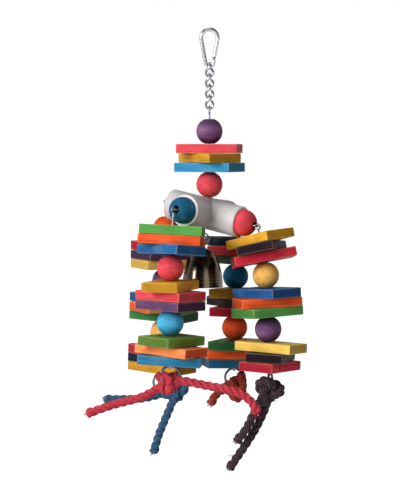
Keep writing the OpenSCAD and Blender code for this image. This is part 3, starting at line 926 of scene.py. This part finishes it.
def slatMesh():
    # a slab round its bore: rectangle bridged to circle, extruded and eased
    length, width, thick = toy["slatLength"], toy["slatWidth"], toy["slatThickness"]
    bm = bmesh.new()
    bmesh.ops.create_grid(bm, x_segments=1, y_segments=1, size=0.5)
    bmesh.ops.scale(bm, vec=(length, width, 1), verts=bm.verts)
    bmesh.ops.delete(bm, geom=bm.faces[:], context="FACES_ONLY")
    bmesh.ops.subdivide_edges(bm, edges=bm.edges[:], cuts=slatShape["cuts"])
    bmesh.ops.create_circle(bm, segments=slatShape["boreSides"], radius=toy["bore"] / 2, cap_ends=False)
    bmesh.ops.bridge_loops(bm, edges=bm.edges[:])
    top = bm.faces[:]
    bmesh.ops.translate(bm, vec=(0, 0, thick / 2), verts=bm.verts)
    made = bmesh.ops.extrude_face_region(bm, geom=top)
    moved = [v for v in made["geom"] if isinstance(v, bmesh.types.BMVert)]
    bmesh.ops.translate(bm, vec=(0, 0, -thick), verts=moved)
    bmesh.ops.recalc_face_normals(bm, faces=bm.faces)
    for inside, offset, steps in ((False, slatShape["ease"], slatShape["easeSteps"]),
                                  (True, slatShape["rimEase"], slatShape["rimSteps"])):
        sharp = [e for e in bm.edges if len(e.link_faces) == 2 and e.calc_face_angle(0) > slatShape["sharp"]
                 and all((v.co.xy.length < toy["bore"]) == inside for v in e.verts)]
        bmesh.ops.bevel(bm, geom=sharp, offset=offset, segments=steps, profile=0.5, affect="EDGES",
                        material=-1)
    return bm


def makeSlat(name, node, place, yaw, dye):
    bm = slatMesh()
    length, width, thick = toy["slatLength"], toy["slatWidth"], toy["slatThickness"]
    # saw and tumbling leave no two edges quite alike
    for corner in ((-1, -1), (-1, 1), (1, -1), (1, 1)):
        draws = [woodDraw.uniform(*slatShape["sawRange"]) for _ in range(2)]
        pull = Vector((*draws, 0)) * slatShape["saw"]
        for vert in bm.verts:
            if vert.co.x * corner[0] > 0 and vert.co.y * corner[1] > 0:
                near = (abs(vert.co.x) / length * 2) * (abs(vert.co.y) / width * 2)
                vert.co.x += pull.x * corner[0] * near
                vert.co.y += pull.y * corner[1] * near
    endFrom = length / 2 - slatShape["ease"] * slatShape["endDepth"]

    def isEnd(face):
        return (abs(face.normal.x) > slatShape["endFacing"]
                and abs(face.calc_center_median().x) > endFrom)

    def isWorn(face):
        return (max(abs(c) for c in face.normal) < slatShape["wornFacing"]
                and face.calc_center_median().xy.length > toy["bore"])

    markWood(bm, woodOffset(), isEnd, isWorn, lambda vert: 0.0)
    woodPiece(bm, name, node, place @ turned(yaw, "Z") @ shifted(0, 0, -thick / 2), dye)


beadShape = {
    "curveSteps": 24,
    "spinSteps": 56,
    "boreEase": ((0, 0.7), (0.15, 0.2)),      # out from the bore and in from the end
    "rimEase": (0.25, 0.02),                  # in from the end face's rim and from the end
    "soakShadeFrom": 0.15,                         # shares of the half height
    "soakShadeOver": 0.7,
    "wornFacing": 0.99,
}


def makeBead(name, node, place, dye, grainTurn):
    # half a circle spun round the bore, with softened rims
    radius, half, bore = toy["beadDiameter"] / 2, toy["beadHeight"] / 2, toy["bore"] / 2
    rim = math.sqrt(radius ** 2 - half ** 2)
    low = math.asin(half / radius)
    profile = [Vector((bore + out, 0, up - half)) for out, up in beadShape["boreEase"]]
    profile.append(Vector((rim - beadShape["rimEase"][0], 0, beadShape["rimEase"][1] - half)))
    foot = profile[::-1]
    steps = beadShape["curveSteps"]
    for i in range(1, steps):
        angle = -low + 2 * low * i / steps
        profile.append(Vector((radius * math.cos(angle), 0, radius * math.sin(angle))))
    profile += [Vector((p.x, 0, -p.z)) for p in foot]
    bm = spunProfile(profile, beadShape["spinSteps"], closed=True)
    depth = beadSoakAndShade.get(dye, beadSoakAndShade["other"])

    # painted shade, partly dye soaked into the end grain: darker towards the bead's top and bottom, eased in
    # from the middle
    def soakedAndShaded(vert):
        return depth * eased((abs(vert.co.z) / half - beadShape["soakShadeFrom"]) / beadShape["soakShadeOver"])

    def isWorn(face):
        return abs(face.normal.z) > beadShape["wornFacing"]

    markWood(bm, woodOffset(), lambda face: False, isWorn, soakedAndShaded)
    woodPiece(bm, name, node, place @ turned(grainTurn, "Z") @ shifted(0, 0, -half), dye)


# each slat's dye and its turn about the wire
centreStack = {
    "beadTop": -105.6,
    "lowBead": -170.1,
    "slats": [("centre_slat_red", "red", -10), ("centre_slat_mustard", "mustard", -60),
              ("centre_slat_blue", "skyBlue", -27)],
}
strandSlats = {
    1: [[("green", -5), ("orange", -8), ("blue", -50)], [("yellow", 70), ("red", -45), ("violet", -47)],
        [("leaf", 55), ("peach", -36), ("lakeBlue", -4)]],
    2: [[("crimson", 31), ("violet", 35), ("lemon", 30)], [("blue", 31), ("peach", 33), ("forest", -28)],
        [("deepRed", 30), ("navy", -33), ("mustard", -36)]],
    3: [[("yellow", -50), ("plum", 75), ("crimson", 5)], [("royal", -52), ("orange", 15), ("green", 35)],
        [("lemon", -31), ("plum", 75), ("crimson", 60)]],
    4: [[("navy", 5), ("deepRed", 63), ("darkGreen", -63)], [("mustard", 70), ("plum", -65), ("crimson", 72)],
        [("forest", 70), ("orange", 8), ("teal", 10)]],
}
strandBeads = {1: ("red", "lightBlue"), 2: ("purple", "amber"), 3: ("amber", "purple"), 4: ("teal", "orange")}
mouthBeads = {1: "teal", 3: "red", 4: "royal"}
beadTurns = {"centreTop": 0, "centreLow": 40, "mouth": 90, "strandTop": 10, "strand": 25, "next": 60}


def makeWood():
    slatsTop = centreStack["beadTop"] - toy["beadHeight"] - toy["stackGap"]
    makeBead("beadCentreTop", "centre_bead_top", shifted(0, 0, centreStack["beadTop"]), "purple",
             beadTurns["centreTop"])
    for i, (node, dye, yaw) in enumerate(centreStack["slats"]):
        makeSlat("slatCentre" + capital(dye), node, shifted(0, 0, slatsTop - i * slatPitch), yaw, dye)
    makeBead("beadCentreLow", "centre_bead_low", shifted(0, 0, centreStack["lowBead"]), "red",
             beadTurns["centreLow"])
    # a mouth bead rests on the mouth's edge
    seat = math.sqrt((toy["beadDiameter"] / 2 + toy["seatGap"]) ** 2 - (toy["mouthBore"] / 2) ** 2)
    reach = toy["armLength"] + seat - toy["mouthEase"] + toy["beadHeight"] / 2
    for k, dye in mouthBeads.items():
        place = armPlace(strands[k]["yaw"]) @ shifted(reach, 0, 0) @ turned(90, "Y")
        makeBead(f"beadMouth{k}", f"mouth_bead_{k}", place, dye, beadTurns["mouth"])
    makeBead("beadStrand2Top", "strand_2_bead_top",
             upperPlace(2) @ shifted(0, 0, -strands[2]["drop"]), "orange", beadTurns["strandTop"])
    for k in strands:
        upper, lower, az = upperPlace(k), lowerPlace(k), facing(k)
        roll = turned(-az, "Z") @ turned(strands[k]["roll"], "Y") @ turned(az, "Z")
        tops = [upper @ shifted(0, 0, firstStackTop(k)),
                lower @ shifted(0, 0, toy["bendDepth"] - beadStep),
                lower @ shifted(0, 0, lowStackTop - stackHeight) @ roll @ shifted(0, 0, stackHeight)]
        for s, top in enumerate(tops):
            node = f"strand_{k}_slats_{s + 1}"
            for i, (dye, yaw) in enumerate(strandSlats[k][s]):
                makeSlat(f"slat{k}Stack{s + 1}{'ABC'[i]}", node, top @ shifted(0, 0, -i * slatPitch),
                         yaw - az, dye)
        for b, dye in enumerate(strandBeads[k]):
            place = lower @ shifted(0, 0, toy["bendDepth"] - b * (beadStep + stackStep))
            makeBead(f"bead{k}Number{b + 1}", f"strand_{k}_bead_{b + 1}", place, dye,
                     beadTurns["strand"] * k + beadTurns["next"] * b)


makeWood()
print("stage: wood")


# Steel, nickel and pipe
metals = {
    "hookSteel": dict(code="b4b5b8", rough=0.2, scratch=0.06, dull=0.2),
    "chainSteel": dict(code="98999d", rough=0.24, scratch=0.06, dull=0.2),
    "wireSteel": dict(code="8f9095", rough=0.3, scratch=0.06, dull=0.2),
    # painted shade: a darker copy of the steel, for the rings and the bell's hook
    "darkSteel": dict(code="66646a", rough=0.3, scratch=0.06, dull=0.2),
    # painted shade: the bell's dark base stands in for the dark surroundings it mirrors
    "bellNickel": dict(code="5a5144", rough=0.15, scratch=0.04, dull=0.12),
}
metalFinish = {
    "scratches": (900, 900, 160),
    "scratchRange": (0.35, 0.65),
    "clouds": 120,
    "cloudShade": 0.78,
    "cloudRange": (0.0, 0.5, 0.4, 0.75),
    "dullRange": (0.5, 0.8),
    "bump": (0.00005, 0.5),
}


def polishedMetal(name, code, rough, scratch, dull):
    # fine scratches over faint cloudy patches
    material, tree, shader = newMaterial(name)
    base = colour(code)
    where = objectVector(tree)
    scratches = noiseAt(tree, where, metalFinish["scratches"], detail=4)
    clouds = noiseAt(tree, where, metalFinish["clouds"])
    cloudy = rangeAt(tree, clouds, *metalFinish["cloudRange"])
    scratched = rangeAt(tree, scratches, rough - scratch, rough + scratch, *metalFinish["scratchRange"])
    dulled = rangeAt(tree, clouds, 0.0, dull, *metalFinish["dullRange"])
    setShader(tree, shader, {
        "Base Color": mixAt(tree, cloudy, base, shaded(base, metalFinish["cloudShade"])),
        "Metallic": 1.0,
        "Roughness": mathAt(tree, "ADD", scratched, dulled, clamp=True),
        "Normal": bumpAt(tree, scratches, *metalFinish["bump"]),
    })
    return material


metalLooks = {name: polishedMetal(name, **look) for name, look in metals.items()}
print("stage: metals")


def smoothCopy(node, name, material, slot, angle=38):
    # the CAD piece itself, its loose triangles merged, so that it can be shaded smooth
    bm = bmesh.new()
    bm.from_mesh(frame["nodes"][node].data)
    bmesh.ops.remove_doubles(bm, verts=bm.verts, dist=1e-6)
    return pieceFrom(bm, name, bodyOf(node), material, nodes=[node], slot=slot,
                     smoothAngle=angle, recalc=False)


smoothPieces = {
    "carabiner_frame": ("hookFrame", "hookSteel", "hook_steel"),
    "carabiner_gate": ("hookGate", "hookSteel", "hook_steel"),
    "gate_rivet": ("hookRivet", "chainSteel", "hook_steel"),
    "centre_wire": ("centreWire", "wireSteel", "wire_steel"),
    "cross_rod": ("crossRod", "wireSteel", "wire_steel"),
    "inner_ring": ("innerRing", "wireSteel", "wire_steel"),
    "inner_chain": ("innerChain", "wireSteel", "wire_steel"),
    "bell_clapper": ("bellClapper", "wireSteel", "bell_nickel"),
}
for k in strands:
    smoothPieces[f"strand_{k}_upper_wire"] = (f"upperWire{k}", "wireSteel", "wire_steel")
    smoothPieces[f"strand_{k}_lower_wire"] = (f"lowerWire{k}", "wireSteel", "wire_steel")
    smoothPieces[f"strand_{k}_ring"] = (f"steelRing{k}", "darkSteel", "chain_steel")
for smoothNode, (smoothName, smoothMetal, smoothSlot) in smoothPieces.items():
    smoothCopy(smoothNode, smoothName, metalLooks[smoothMetal], smoothSlot)


linkShape = {
    "count": 4,
    "wire": 3.0,
    "inside": 13.2,
    "width": 5.8,
    "twist": 90,
    "sides": 20,
    "step": 0.55,
    "bowPoints": 12,
    "sidePoints": 8,
}


def addTube(bm, route, radius, sides, closed=False):
    rings = [ringOf(bm, middle, side, ahead.cross(side), roundAngles(sides), lambda angle: radius)
             for middle, (ahead, side) in zip(route, carriedFrames(route, closed))]
    skinRings(bm, rings, closed)


def twistedLinkRoute():
    # the low bow lies across the high one, and the sides turn from one to the other
    bow = (linkShape["width"] + linkShape["wire"]) / 2
    low, high = -linkShape["inside"] + linkShape["width"] / 2, -linkShape["width"] / 2
    bowAngles = [math.pi * i / linkShape["bowPoints"] for i in range(linkShape["bowPoints"])]

    def side(way, start, end):
        for i in range(linkShape["sidePoints"]):
            z = start + (end - start) * i / linkShape["sidePoints"]
            turn = math.radians(linkShape["twist"] * eased((z - low) / (high - low)))
            yield way * bow * math.cos(turn), way * bow * math.sin(turn), z

    points = [(bow * math.cos(math.pi + a), 0, low + bow * math.sin(math.pi + a)) for a in bowAngles]
    points += side(1, low, high)
    points += [(0, bow * math.cos(a), high + bow * math.sin(a)) for a in bowAngles]
    points += side(-1, high, low)
    return points


def makeLinks():
    for k in range(1, linkShape["count"] + 1):
        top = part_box(f"top_link_{k}")[1].z / mm - linkShape["wire"]
        route = smoothRoute(twistedLinkRoute(), linkShape["step"], closed=True)[0]
        bm = bmesh.new()
        addTube(bm, [p + zAxis * top for p in route], linkShape["wire"] / 2, linkShape["sides"], closed=True)
        toMetres(bm)
        pieceFrom(bm, f"chainLink{k}", f"link_{k}", metalLooks["chainSteel"], nodes=[f"top_link_{k}"],
                  slot="chain_steel", smoothAngle=60)


makeLinks()
print("stage: wires and chain")

bellShape = {
    "radius": 24.6,
    "height": 46.5,
    "wall": 1.2,
    "wire": 1.8,
    "wireSides": 14,
    "loop": 3.2,
    "loopPoints": 40,
    "innerLoop": 3.7,
    "innerLoopSunk": 0.2,     # how far its ends go into the crown
    "profileSteps": 44,
    "spinSteps": 72,
    "crownWidth": 0.3,        # widths as shares of the radius
    "shoulderWidth": 0.64,
    "shoulderAt": 0.16,       # places down the bell as shares of its height
    "flare": 0.8,
    "grooves": (0.79, 0.86),
    "grooveHalf": 0.012,
    "grooveDepth": 0.18,
    "lipAt": 0.985,
    "lipHalf": 0.02,
    "lipRoll": 0.084,
    "lipInside": 0.35,        # the lip's inner edge is eased outwards
    "mergeWithin": 0.001,
}
bellHookPoints = [(-2.5, -1.4), (-2.3, 1.2), (0, 2.4), (4, 1.6), (8, -1.4), (10, -5.5),
                  (8.6, -9.6), (5, -12.2), (1.5, -12.8), (-1.2, -11.2), (-1.8, -8.8)]
bellHookStep = 0.6


def bellProfile(t):
    crown, shoulder, at = bellShape["crownWidth"], bellShape["shoulderWidth"], bellShape["shoulderAt"]
    if t < at:
        return bellShape["radius"] * (crown + (shoulder - crown) * math.sin(math.pi / 2 * t / at))
    below = ((t - at) / (1 - at)) ** bellShape["flare"]
    return bellShape["radius"] * (shoulder + (1 - shoulder) * math.sin(math.pi / 2 * below))


def bellOutside(t):
    # turned lines above the lip, and the lip rolled outwards
    turnedLine = any(abs(t - at) < bellShape["grooveHalf"] for at in bellShape["grooves"])
    roll = bellShape["lipRoll"] * math.exp(-((t - bellShape["lipAt"]) / bellShape["lipHalf"]) ** 2)
    return bellProfile(t) - (bellShape["grooveDepth"] if turnedLine else 0) + roll


def makeBell():
    low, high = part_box("bell")
    middle = (low + high) / 2 / mm
    middle.z = 0
    height, wall, steps = bellShape["height"], bellShape["wall"], bellShape["profileSteps"]
    crown = low.z / mm + height
    shares = [i / steps for i in range(steps + 1)]
    outer = [Vector((0, 0, crown))] + [Vector((bellOutside(t), 0, crown - height * t)) for t in shares]
    inner = [Vector((bellProfile(t) - wall, 0, crown - wall - (height - wall) * t)) for t in shares[::-1]]
    inner[0].x += bellShape["lipInside"]
    inner.append(Vector((0, 0, crown - wall)))
    bm = spunProfile(outer + inner, bellShape["spinSteps"], closed=False)
    bmesh.ops.remove_doubles(bm, verts=bm.verts, dist=bellShape["mergeWithin"])
    bmesh.ops.recalc_face_normals(bm, faces=bm.faces)
    # a whole loop on the crown and half a loop under it
    points = bellShape["loopPoints"]
    loopTop = high.z / mm - bellShape["wire"] / 2 - bellShape["loop"]
    innerTop = crown - wall + bellShape["innerLoopSunk"]
    for z, r, start, turn, closed in ((loopTop, bellShape["loop"], 0, 2 * math.pi, True),
                                      (innerTop, bellShape["innerLoop"], math.pi, math.pi, False)):
        count = points if closed else points + 1
        angles = [start + turn * i / points for i in range(count)]
        route = [Vector((0, r * math.cos(a), z + r * math.sin(a))) for a in angles]
        addTube(bm, route, bellShape["wire"] / 2, bellShape["wireSides"], closed)
    bmesh.ops.transform(bm, matrix=metres @ Matrix.Translation(middle), verts=bm.verts)
    pieceFrom(bm, "bellShell", "bell", metalLooks["bellNickel"], nodes=["bell"],
              slot="bell_nickel", smoothAngle=50, recalc=False)


def makeBellHook():
    low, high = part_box("bell_hook")
    route = smoothRoute([(x, 0, z) for x, z in bellHookPoints], bellHookStep)[0]
    xs, zs = [p.x for p in route], [p.z for p in route]
    shift = (low + high) / 2 / mm - Vector(((min(xs) + max(xs)) / 2, 0, (min(zs) + max(zs)) / 2))
    bm = bmesh.new()
    addTube(bm, [p + shift for p in route], bellShape["wire"] / 2, bellShape["wireSides"])
    toMetres(bm)
    pieceFrom(bm, "bellHookWire", "bell_hook", metalLooks["darkSteel"], nodes=["bell_hook"],
              slot="wire_steel", smoothAngle=60)


makeBell()
makeBellHook()
print("stage: bell")


pipeFinish = {
    "grey": "a9a5a4",
    "pale": "e2dcdd",
    "mottle": 60,
    "mottleShade": 0.86,
    "mottled": (0.0, 0.35, 0.4, 0.7),     # least and most, and the noise between
    "flow": (40, 260, 260),
    "flowMarks": (0.0, 0.2, 0.5, 0.7),
    "specks": 1600,
    "speckShare": 0.3,
    "flowShare": 0.7,
    # painted light: paler from this far out along each arm
    "paintedLightReach": (0.0, 0.4, 0.022, 0.046),      # the last two are metres out along an arm
    "rimReach": (0.0, 0.9, 0.0496, 0.0502),
    "roughness": (0.34, 0.52, 0.35, 0.65),
    "specular": 0.3,
    "bump": (0.0002, 0.4),
}


def pipePlastic():
    # moulded pipe: pale at the cut mouths, faint flow marks, and painted shade, greyer in the middle where
    # the arms meet and paler out along the arms
    material, tree, shader = newMaterial("pipePlastic")
    grey, pale = colour(pipeFinish["grey"]), colour(pipeFinish["pale"])
    where = objectVector(tree)
    # the arms' own axes, so that the reach along them can be measured
    inverse = (metres @ armPlace(strands[3]["yaw"])).inverted()
    mapping = addNode(tree, "ShaderNodeMapping", {
        "Vector": where, "Location": Vector(inverse.translation) * mm,
        "Rotation": (inverse.to_3x3() * mm).to_euler()})
    parts = addNode(tree, "ShaderNodeSeparateXYZ", {"Vector": mapping.outputs["Vector"]}).outputs
    reach = mathAt(tree, "MAXIMUM", *[mathAt(tree, "ABSOLUTE", parts[axis]) for axis in ("X", "Y")])
    mottle = noiseAt(tree, where, pipeFinish["mottle"], detail=4)
    flow = noiseAt(tree, where, pipeFinish["flow"])
    specks = noiseAt(tree, where, pipeFinish["specks"], detail=2)
    dull = shaded(grey, pipeFinish["mottleShade"])
    base = mixAt(tree, rangeAt(tree, mottle, *pipeFinish["mottled"]), grey, dull)
    # flow marks, then painted light paler out along the arms, then the pale cut rims
    for pattern, limits in ((flow, "flowMarks"), (reach, "paintedLightReach"), (reach, "rimReach")):
        base = mixAt(tree, rangeAt(tree, pattern, *pipeFinish[limits]), base, pale)
    height = mathAt(tree, "ADD", scaledAt(tree, specks, pipeFinish["speckShare"]),
                    scaledAt(tree, flow, pipeFinish["flowShare"]))
    setShader(tree, shader, {
        "Base Color": base,
        "Roughness": rangeAt(tree, mottle, *pipeFinish["roughness"]),
        "Specular IOR Level": pipeFinish["specular"],
        "Normal": bumpAt(tree, height, *pipeFinish["bump"]),
    })
    return material


smoothCopy("pipe_cross", "pipeCross", pipePlastic(), "pvc_grey", angle=30)
print("stage: pipe cross")


# Floor and light
studio = {
    "floorHeight": -1.15,
    "floorSize": 60,
    "floorGrey": 0.86,
    "floorRoughness": 0.9,
    "floorGlow": 0.95,
    "ambient": 0.15,
    "lampAim": (0, 0, -0.27),
    # what metal mirrors, as greys at heights and at depths from 0 to 1
    "ceiling": [(0.0, 0.5), (0.45, 1), (0.72, 0.9), (0.9, 0.1)],
    "room": [(0.05, 0.09), (0.42, 0.22), (0.62, 0.95)],
}
lamps = {
    "keyLamp": dict(place=(-2.3, -2.1, 0.75), power=108, size=1.5),
    "fillLamp": dict(place=(1.2, -2.9, 0.2), power=14, size=1.6),
    "topLamp": dict(place=(-0.4, -0.5, 1.9), power=16, size=1.4),
}


def areaLamp(name, place, power, size):
    data = bpy.data.lights.new(name, "AREA")
    data.energy = power
    data.shape = "SQUARE"
    data.size = size
    turn = (Vector(studio["lampAim"]) - Vector(place)).to_track_quat("-Z", "Y")
    newObject(name, data).matrix_world = Matrix.Translation(place) @ turn.to_matrix().to_4x4()


def greyOf(value):
    return (value, value, value, 1)


def makeWorld():
    world = bpy.data.worlds.new("studio")
    scene.world = world
    world.use_nodes = True
    tree = world.node_tree
    tree.nodes.clear()
    path = addNode(tree, "ShaderNodeLightPath").outputs
    direction = addNode(tree, "ShaderNodeTexCoord").outputs["Generated"]
    parts = addNode(tree, "ShaderNodeSeparateXYZ", {"Vector": direction}).outputs

    def facingRamp(axis, stops):
        return rampAt(tree, mathAt(tree, "ADD", scaledAt(tree, parts[axis], 0.5), 0.5),
                      [(place, greyOf(value)) for place, value in stops])

    def background(light, strength=1.0):
        return addNode(tree, "ShaderNodeBackground", {"Color": light, "Strength": strength}).outputs[0]

    # metal sees the white backdrop behind, the dim room in front and a darker ceiling
    ceiling, room = facingRamp("Z", studio["ceiling"]), facingRamp("Y", studio["room"])
    mirror = background(mixAt(tree, 1.0, ceiling, room, mode="MULTIPLY"))
    seen = mathAt(tree, "MAXIMUM", path["Is Camera Ray"], path["Is Transmission Ray"])
    lit = background(greyOf(1), studio["ambient"])
    for factor, other in ((path["Is Glossy Ray"], mirror), (seen, background(greyOf(1)))):
        lit = addNode(tree, "ShaderNodeMixShader", {0: factor, 1: lit, 2: other}).outputs[0]
    addNode(tree, "ShaderNodeOutputWorld", {"Surface": lit})


def makeFloor():
    material, tree, shader = newMaterial("paleFloor")
    path = addNode(tree, "ShaderNodeLightPath").outputs
    seen = mathAt(tree, "MAXIMUM", path["Is Camera Ray"], path["Is Glossy Ray"])
    setShader(tree, shader, {
        "Base Color": greyOf(studio["floorGrey"]),
        "Roughness": studio["floorRoughness"],
        "Emission Color": greyOf(1),
        "Emission Strength": scaledAt(tree, seen, studio["floorGlow"]),
    })
    bm = bmesh.new()
    bmesh.ops.create_grid(bm, x_segments=1, y_segments=1, size=studio["floorSize"] / 2)
    bmesh.ops.translate(bm, vec=(0, 0, studio["floorHeight"]), verts=bm.verts)
    floor = objectFrom(bm, "floor", material)
    floor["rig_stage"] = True


makeWorld()
makeFloor()
for lampName, lamp in lamps.items():
    areaLamp(lampName, **lamp)
scene.view_settings.view_transform = "Standard"
print("stage: studio")


# Placed by the photograph
def surfaceOf(names):
    verts, faces = [], []
    graph = bpy.context.evaluated_depsgraph_get()
    for name in names:
        mesh = bpy.data.objects[name].evaluated_get(graph).to_mesh()
        base = len(verts)
        verts += [v.co.copy() for v in mesh.vertices]
        faces += [tuple(base + i for i in p.vertices) for p in mesh.polygons]
    return BVHTree.FromPolygons(verts, faces), verts


def placeOn(point, names):
    # the photograph's ray meets the finished pieces, or takes the nearest place to it
    origin, direction = rayThrough(*point)
    tree, verts = surfaceOf(names)
    place, normal = tree.ray_cast(origin, direction)[:2]
    if place is None:
        def off(v):
            along = max(0, (v - origin).dot(direction))
            return (v - origin - direction * along).length
        place, normal = tree.find_nearest(min(verts, key=off))[:2]
    return place, normal


# tufts of fibres that the photograph shows, and single ones all along each strand's tails
tufts = {
    "plumFibres": dict(strand=3, on=["ropePlumLong", "ropePlumShort"], long=12),
    "plumKnotFibres": dict(strand=3, on=["ropeKnot3"], long=12),
    "redTipFibres": dict(strand=1, on=["ropeRedRight"], long=6),
}
tuftCount = 7
strays = {
    1: dict(count=16, long=5),
    2: dict(count=16, long=5),
    3: dict(count=40, long=9),
    4: dict(count=10, long=5),
}
placed = {name: placeOn(imagePoints[name], tuft["on"]) for name, tuft in tufts.items()}


def alongTail(name, share):
    route = tails[name]["route"]
    i = min(len(route) - 2, int(share * (len(route) - 1)))
    return route[i], (route[i + 1] - route[i]).normalized()


def straySpots(name, count, long):
    spots = []
    for i in range(count):
        middle, ahead = alongTail(name, fibreDraw.uniform(*frayShape["strayAlong"]))
        out = sideways(ahead)
        spots.append((middle + out * ropes["skin"] * frayShape["strayOut"], out, 1, long))
    return spots


def makeFray(k):
    ends, spots = [], []
    for tailName in [name for name, values in tails.items() if values["strand"] == k]:
        route = tails[tailName]["route"]
        ends.append((route[-1], (route[-1] - route[-3]).normalized()))
        spots += straySpots(tailName, **strays[k])
    for name, (place, normal) in placed.items():
        if tufts[name]["strand"] == k:
            spots.append((place / mm, normal, tuftCount, tufts[name]["long"]))
    return frayedFibres(k, ends, spots)


frays = {k: makeFray(k) for k in strays}

for cordValues in tails.values():
    [tuple(p * mm) for p in cordValues["route"]]

# Points and size
pointPieces = {
    "purpleBead": "beadCentreTop", "redBead": "beadCentreLow", "blueMouthBead": "beadMouth1",
    "redMouthBead": "beadMouth3", "strandOneRedBead": "bead1Number1", "strandOneBlueBead": "bead1Number2",
    "strandThreeYellowBead": "bead3Number1", "strandThreePurpleBead": "bead3Number2",
    "strandFourTealBead": "bead4Number1", "strandFourOrangeBead": "bead4Number2",
    "strandTwoOrangeBead": "beadStrand2Top", "topRedSlat": "slatCentreRed",
}
# the axis of each edge's image point, and which end of the toy it marks
edgePoints = {
    "leftSlatEdge": (0, min),
    "rightSlatEdge": (0, max),
    "hookTop": (1, min),
    "lowestSlatEdge": (1, max),
}
sightTolerance = 0.0012       # metres between a vertex and the first surface met on the way to it


def shownPixels(names, tree):
    # pixels of the vertices that nothing hides
    origin = cameraMatrix.translation
    found = []
    for name in names:
        for vert in bpy.data.objects[name].data.vertices:
            way = vert.co - origin
            place = tree.ray_cast(origin, way.normalized())[0]
            if place is not None and (place - vert.co).length < sightTolerance:
                found.append(pixelOf(vert.co))
    return found


def measurePoints():
    # how far each piece's middle, or the toy's edge, lies from its image point
    shown = [p.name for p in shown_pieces() if p.type == "MESH"]
    tree = surfaceOf(shown)[0]
    report = {}
    edges = shownPixels([n for n in shown if n.startswith(("slat", "hookFrame"))], tree)
    for name, (axis, pick) in edgePoints.items():
        report[name] = [None, None]
        report[name][axis] = round(pick(p[axis] for p in edges) - imagePoints[name][axis], 2)
    for name, piece in pointPieces.items():
        found = shownPixels([piece], tree)
        if found:
            middles = [(min(line) + max(line)) / 2 for line in zip(*found)]
            report[name] = [round(m - p, 2) for m, p in zip(middles, imagePoints[name])]
    for name, (place, normal) in placed.items():
        report[name] = [round(m - p, 2) for m, p in zip(pixelOf(place), imagePoints[name])]
    return report


pointReport = measurePoints()
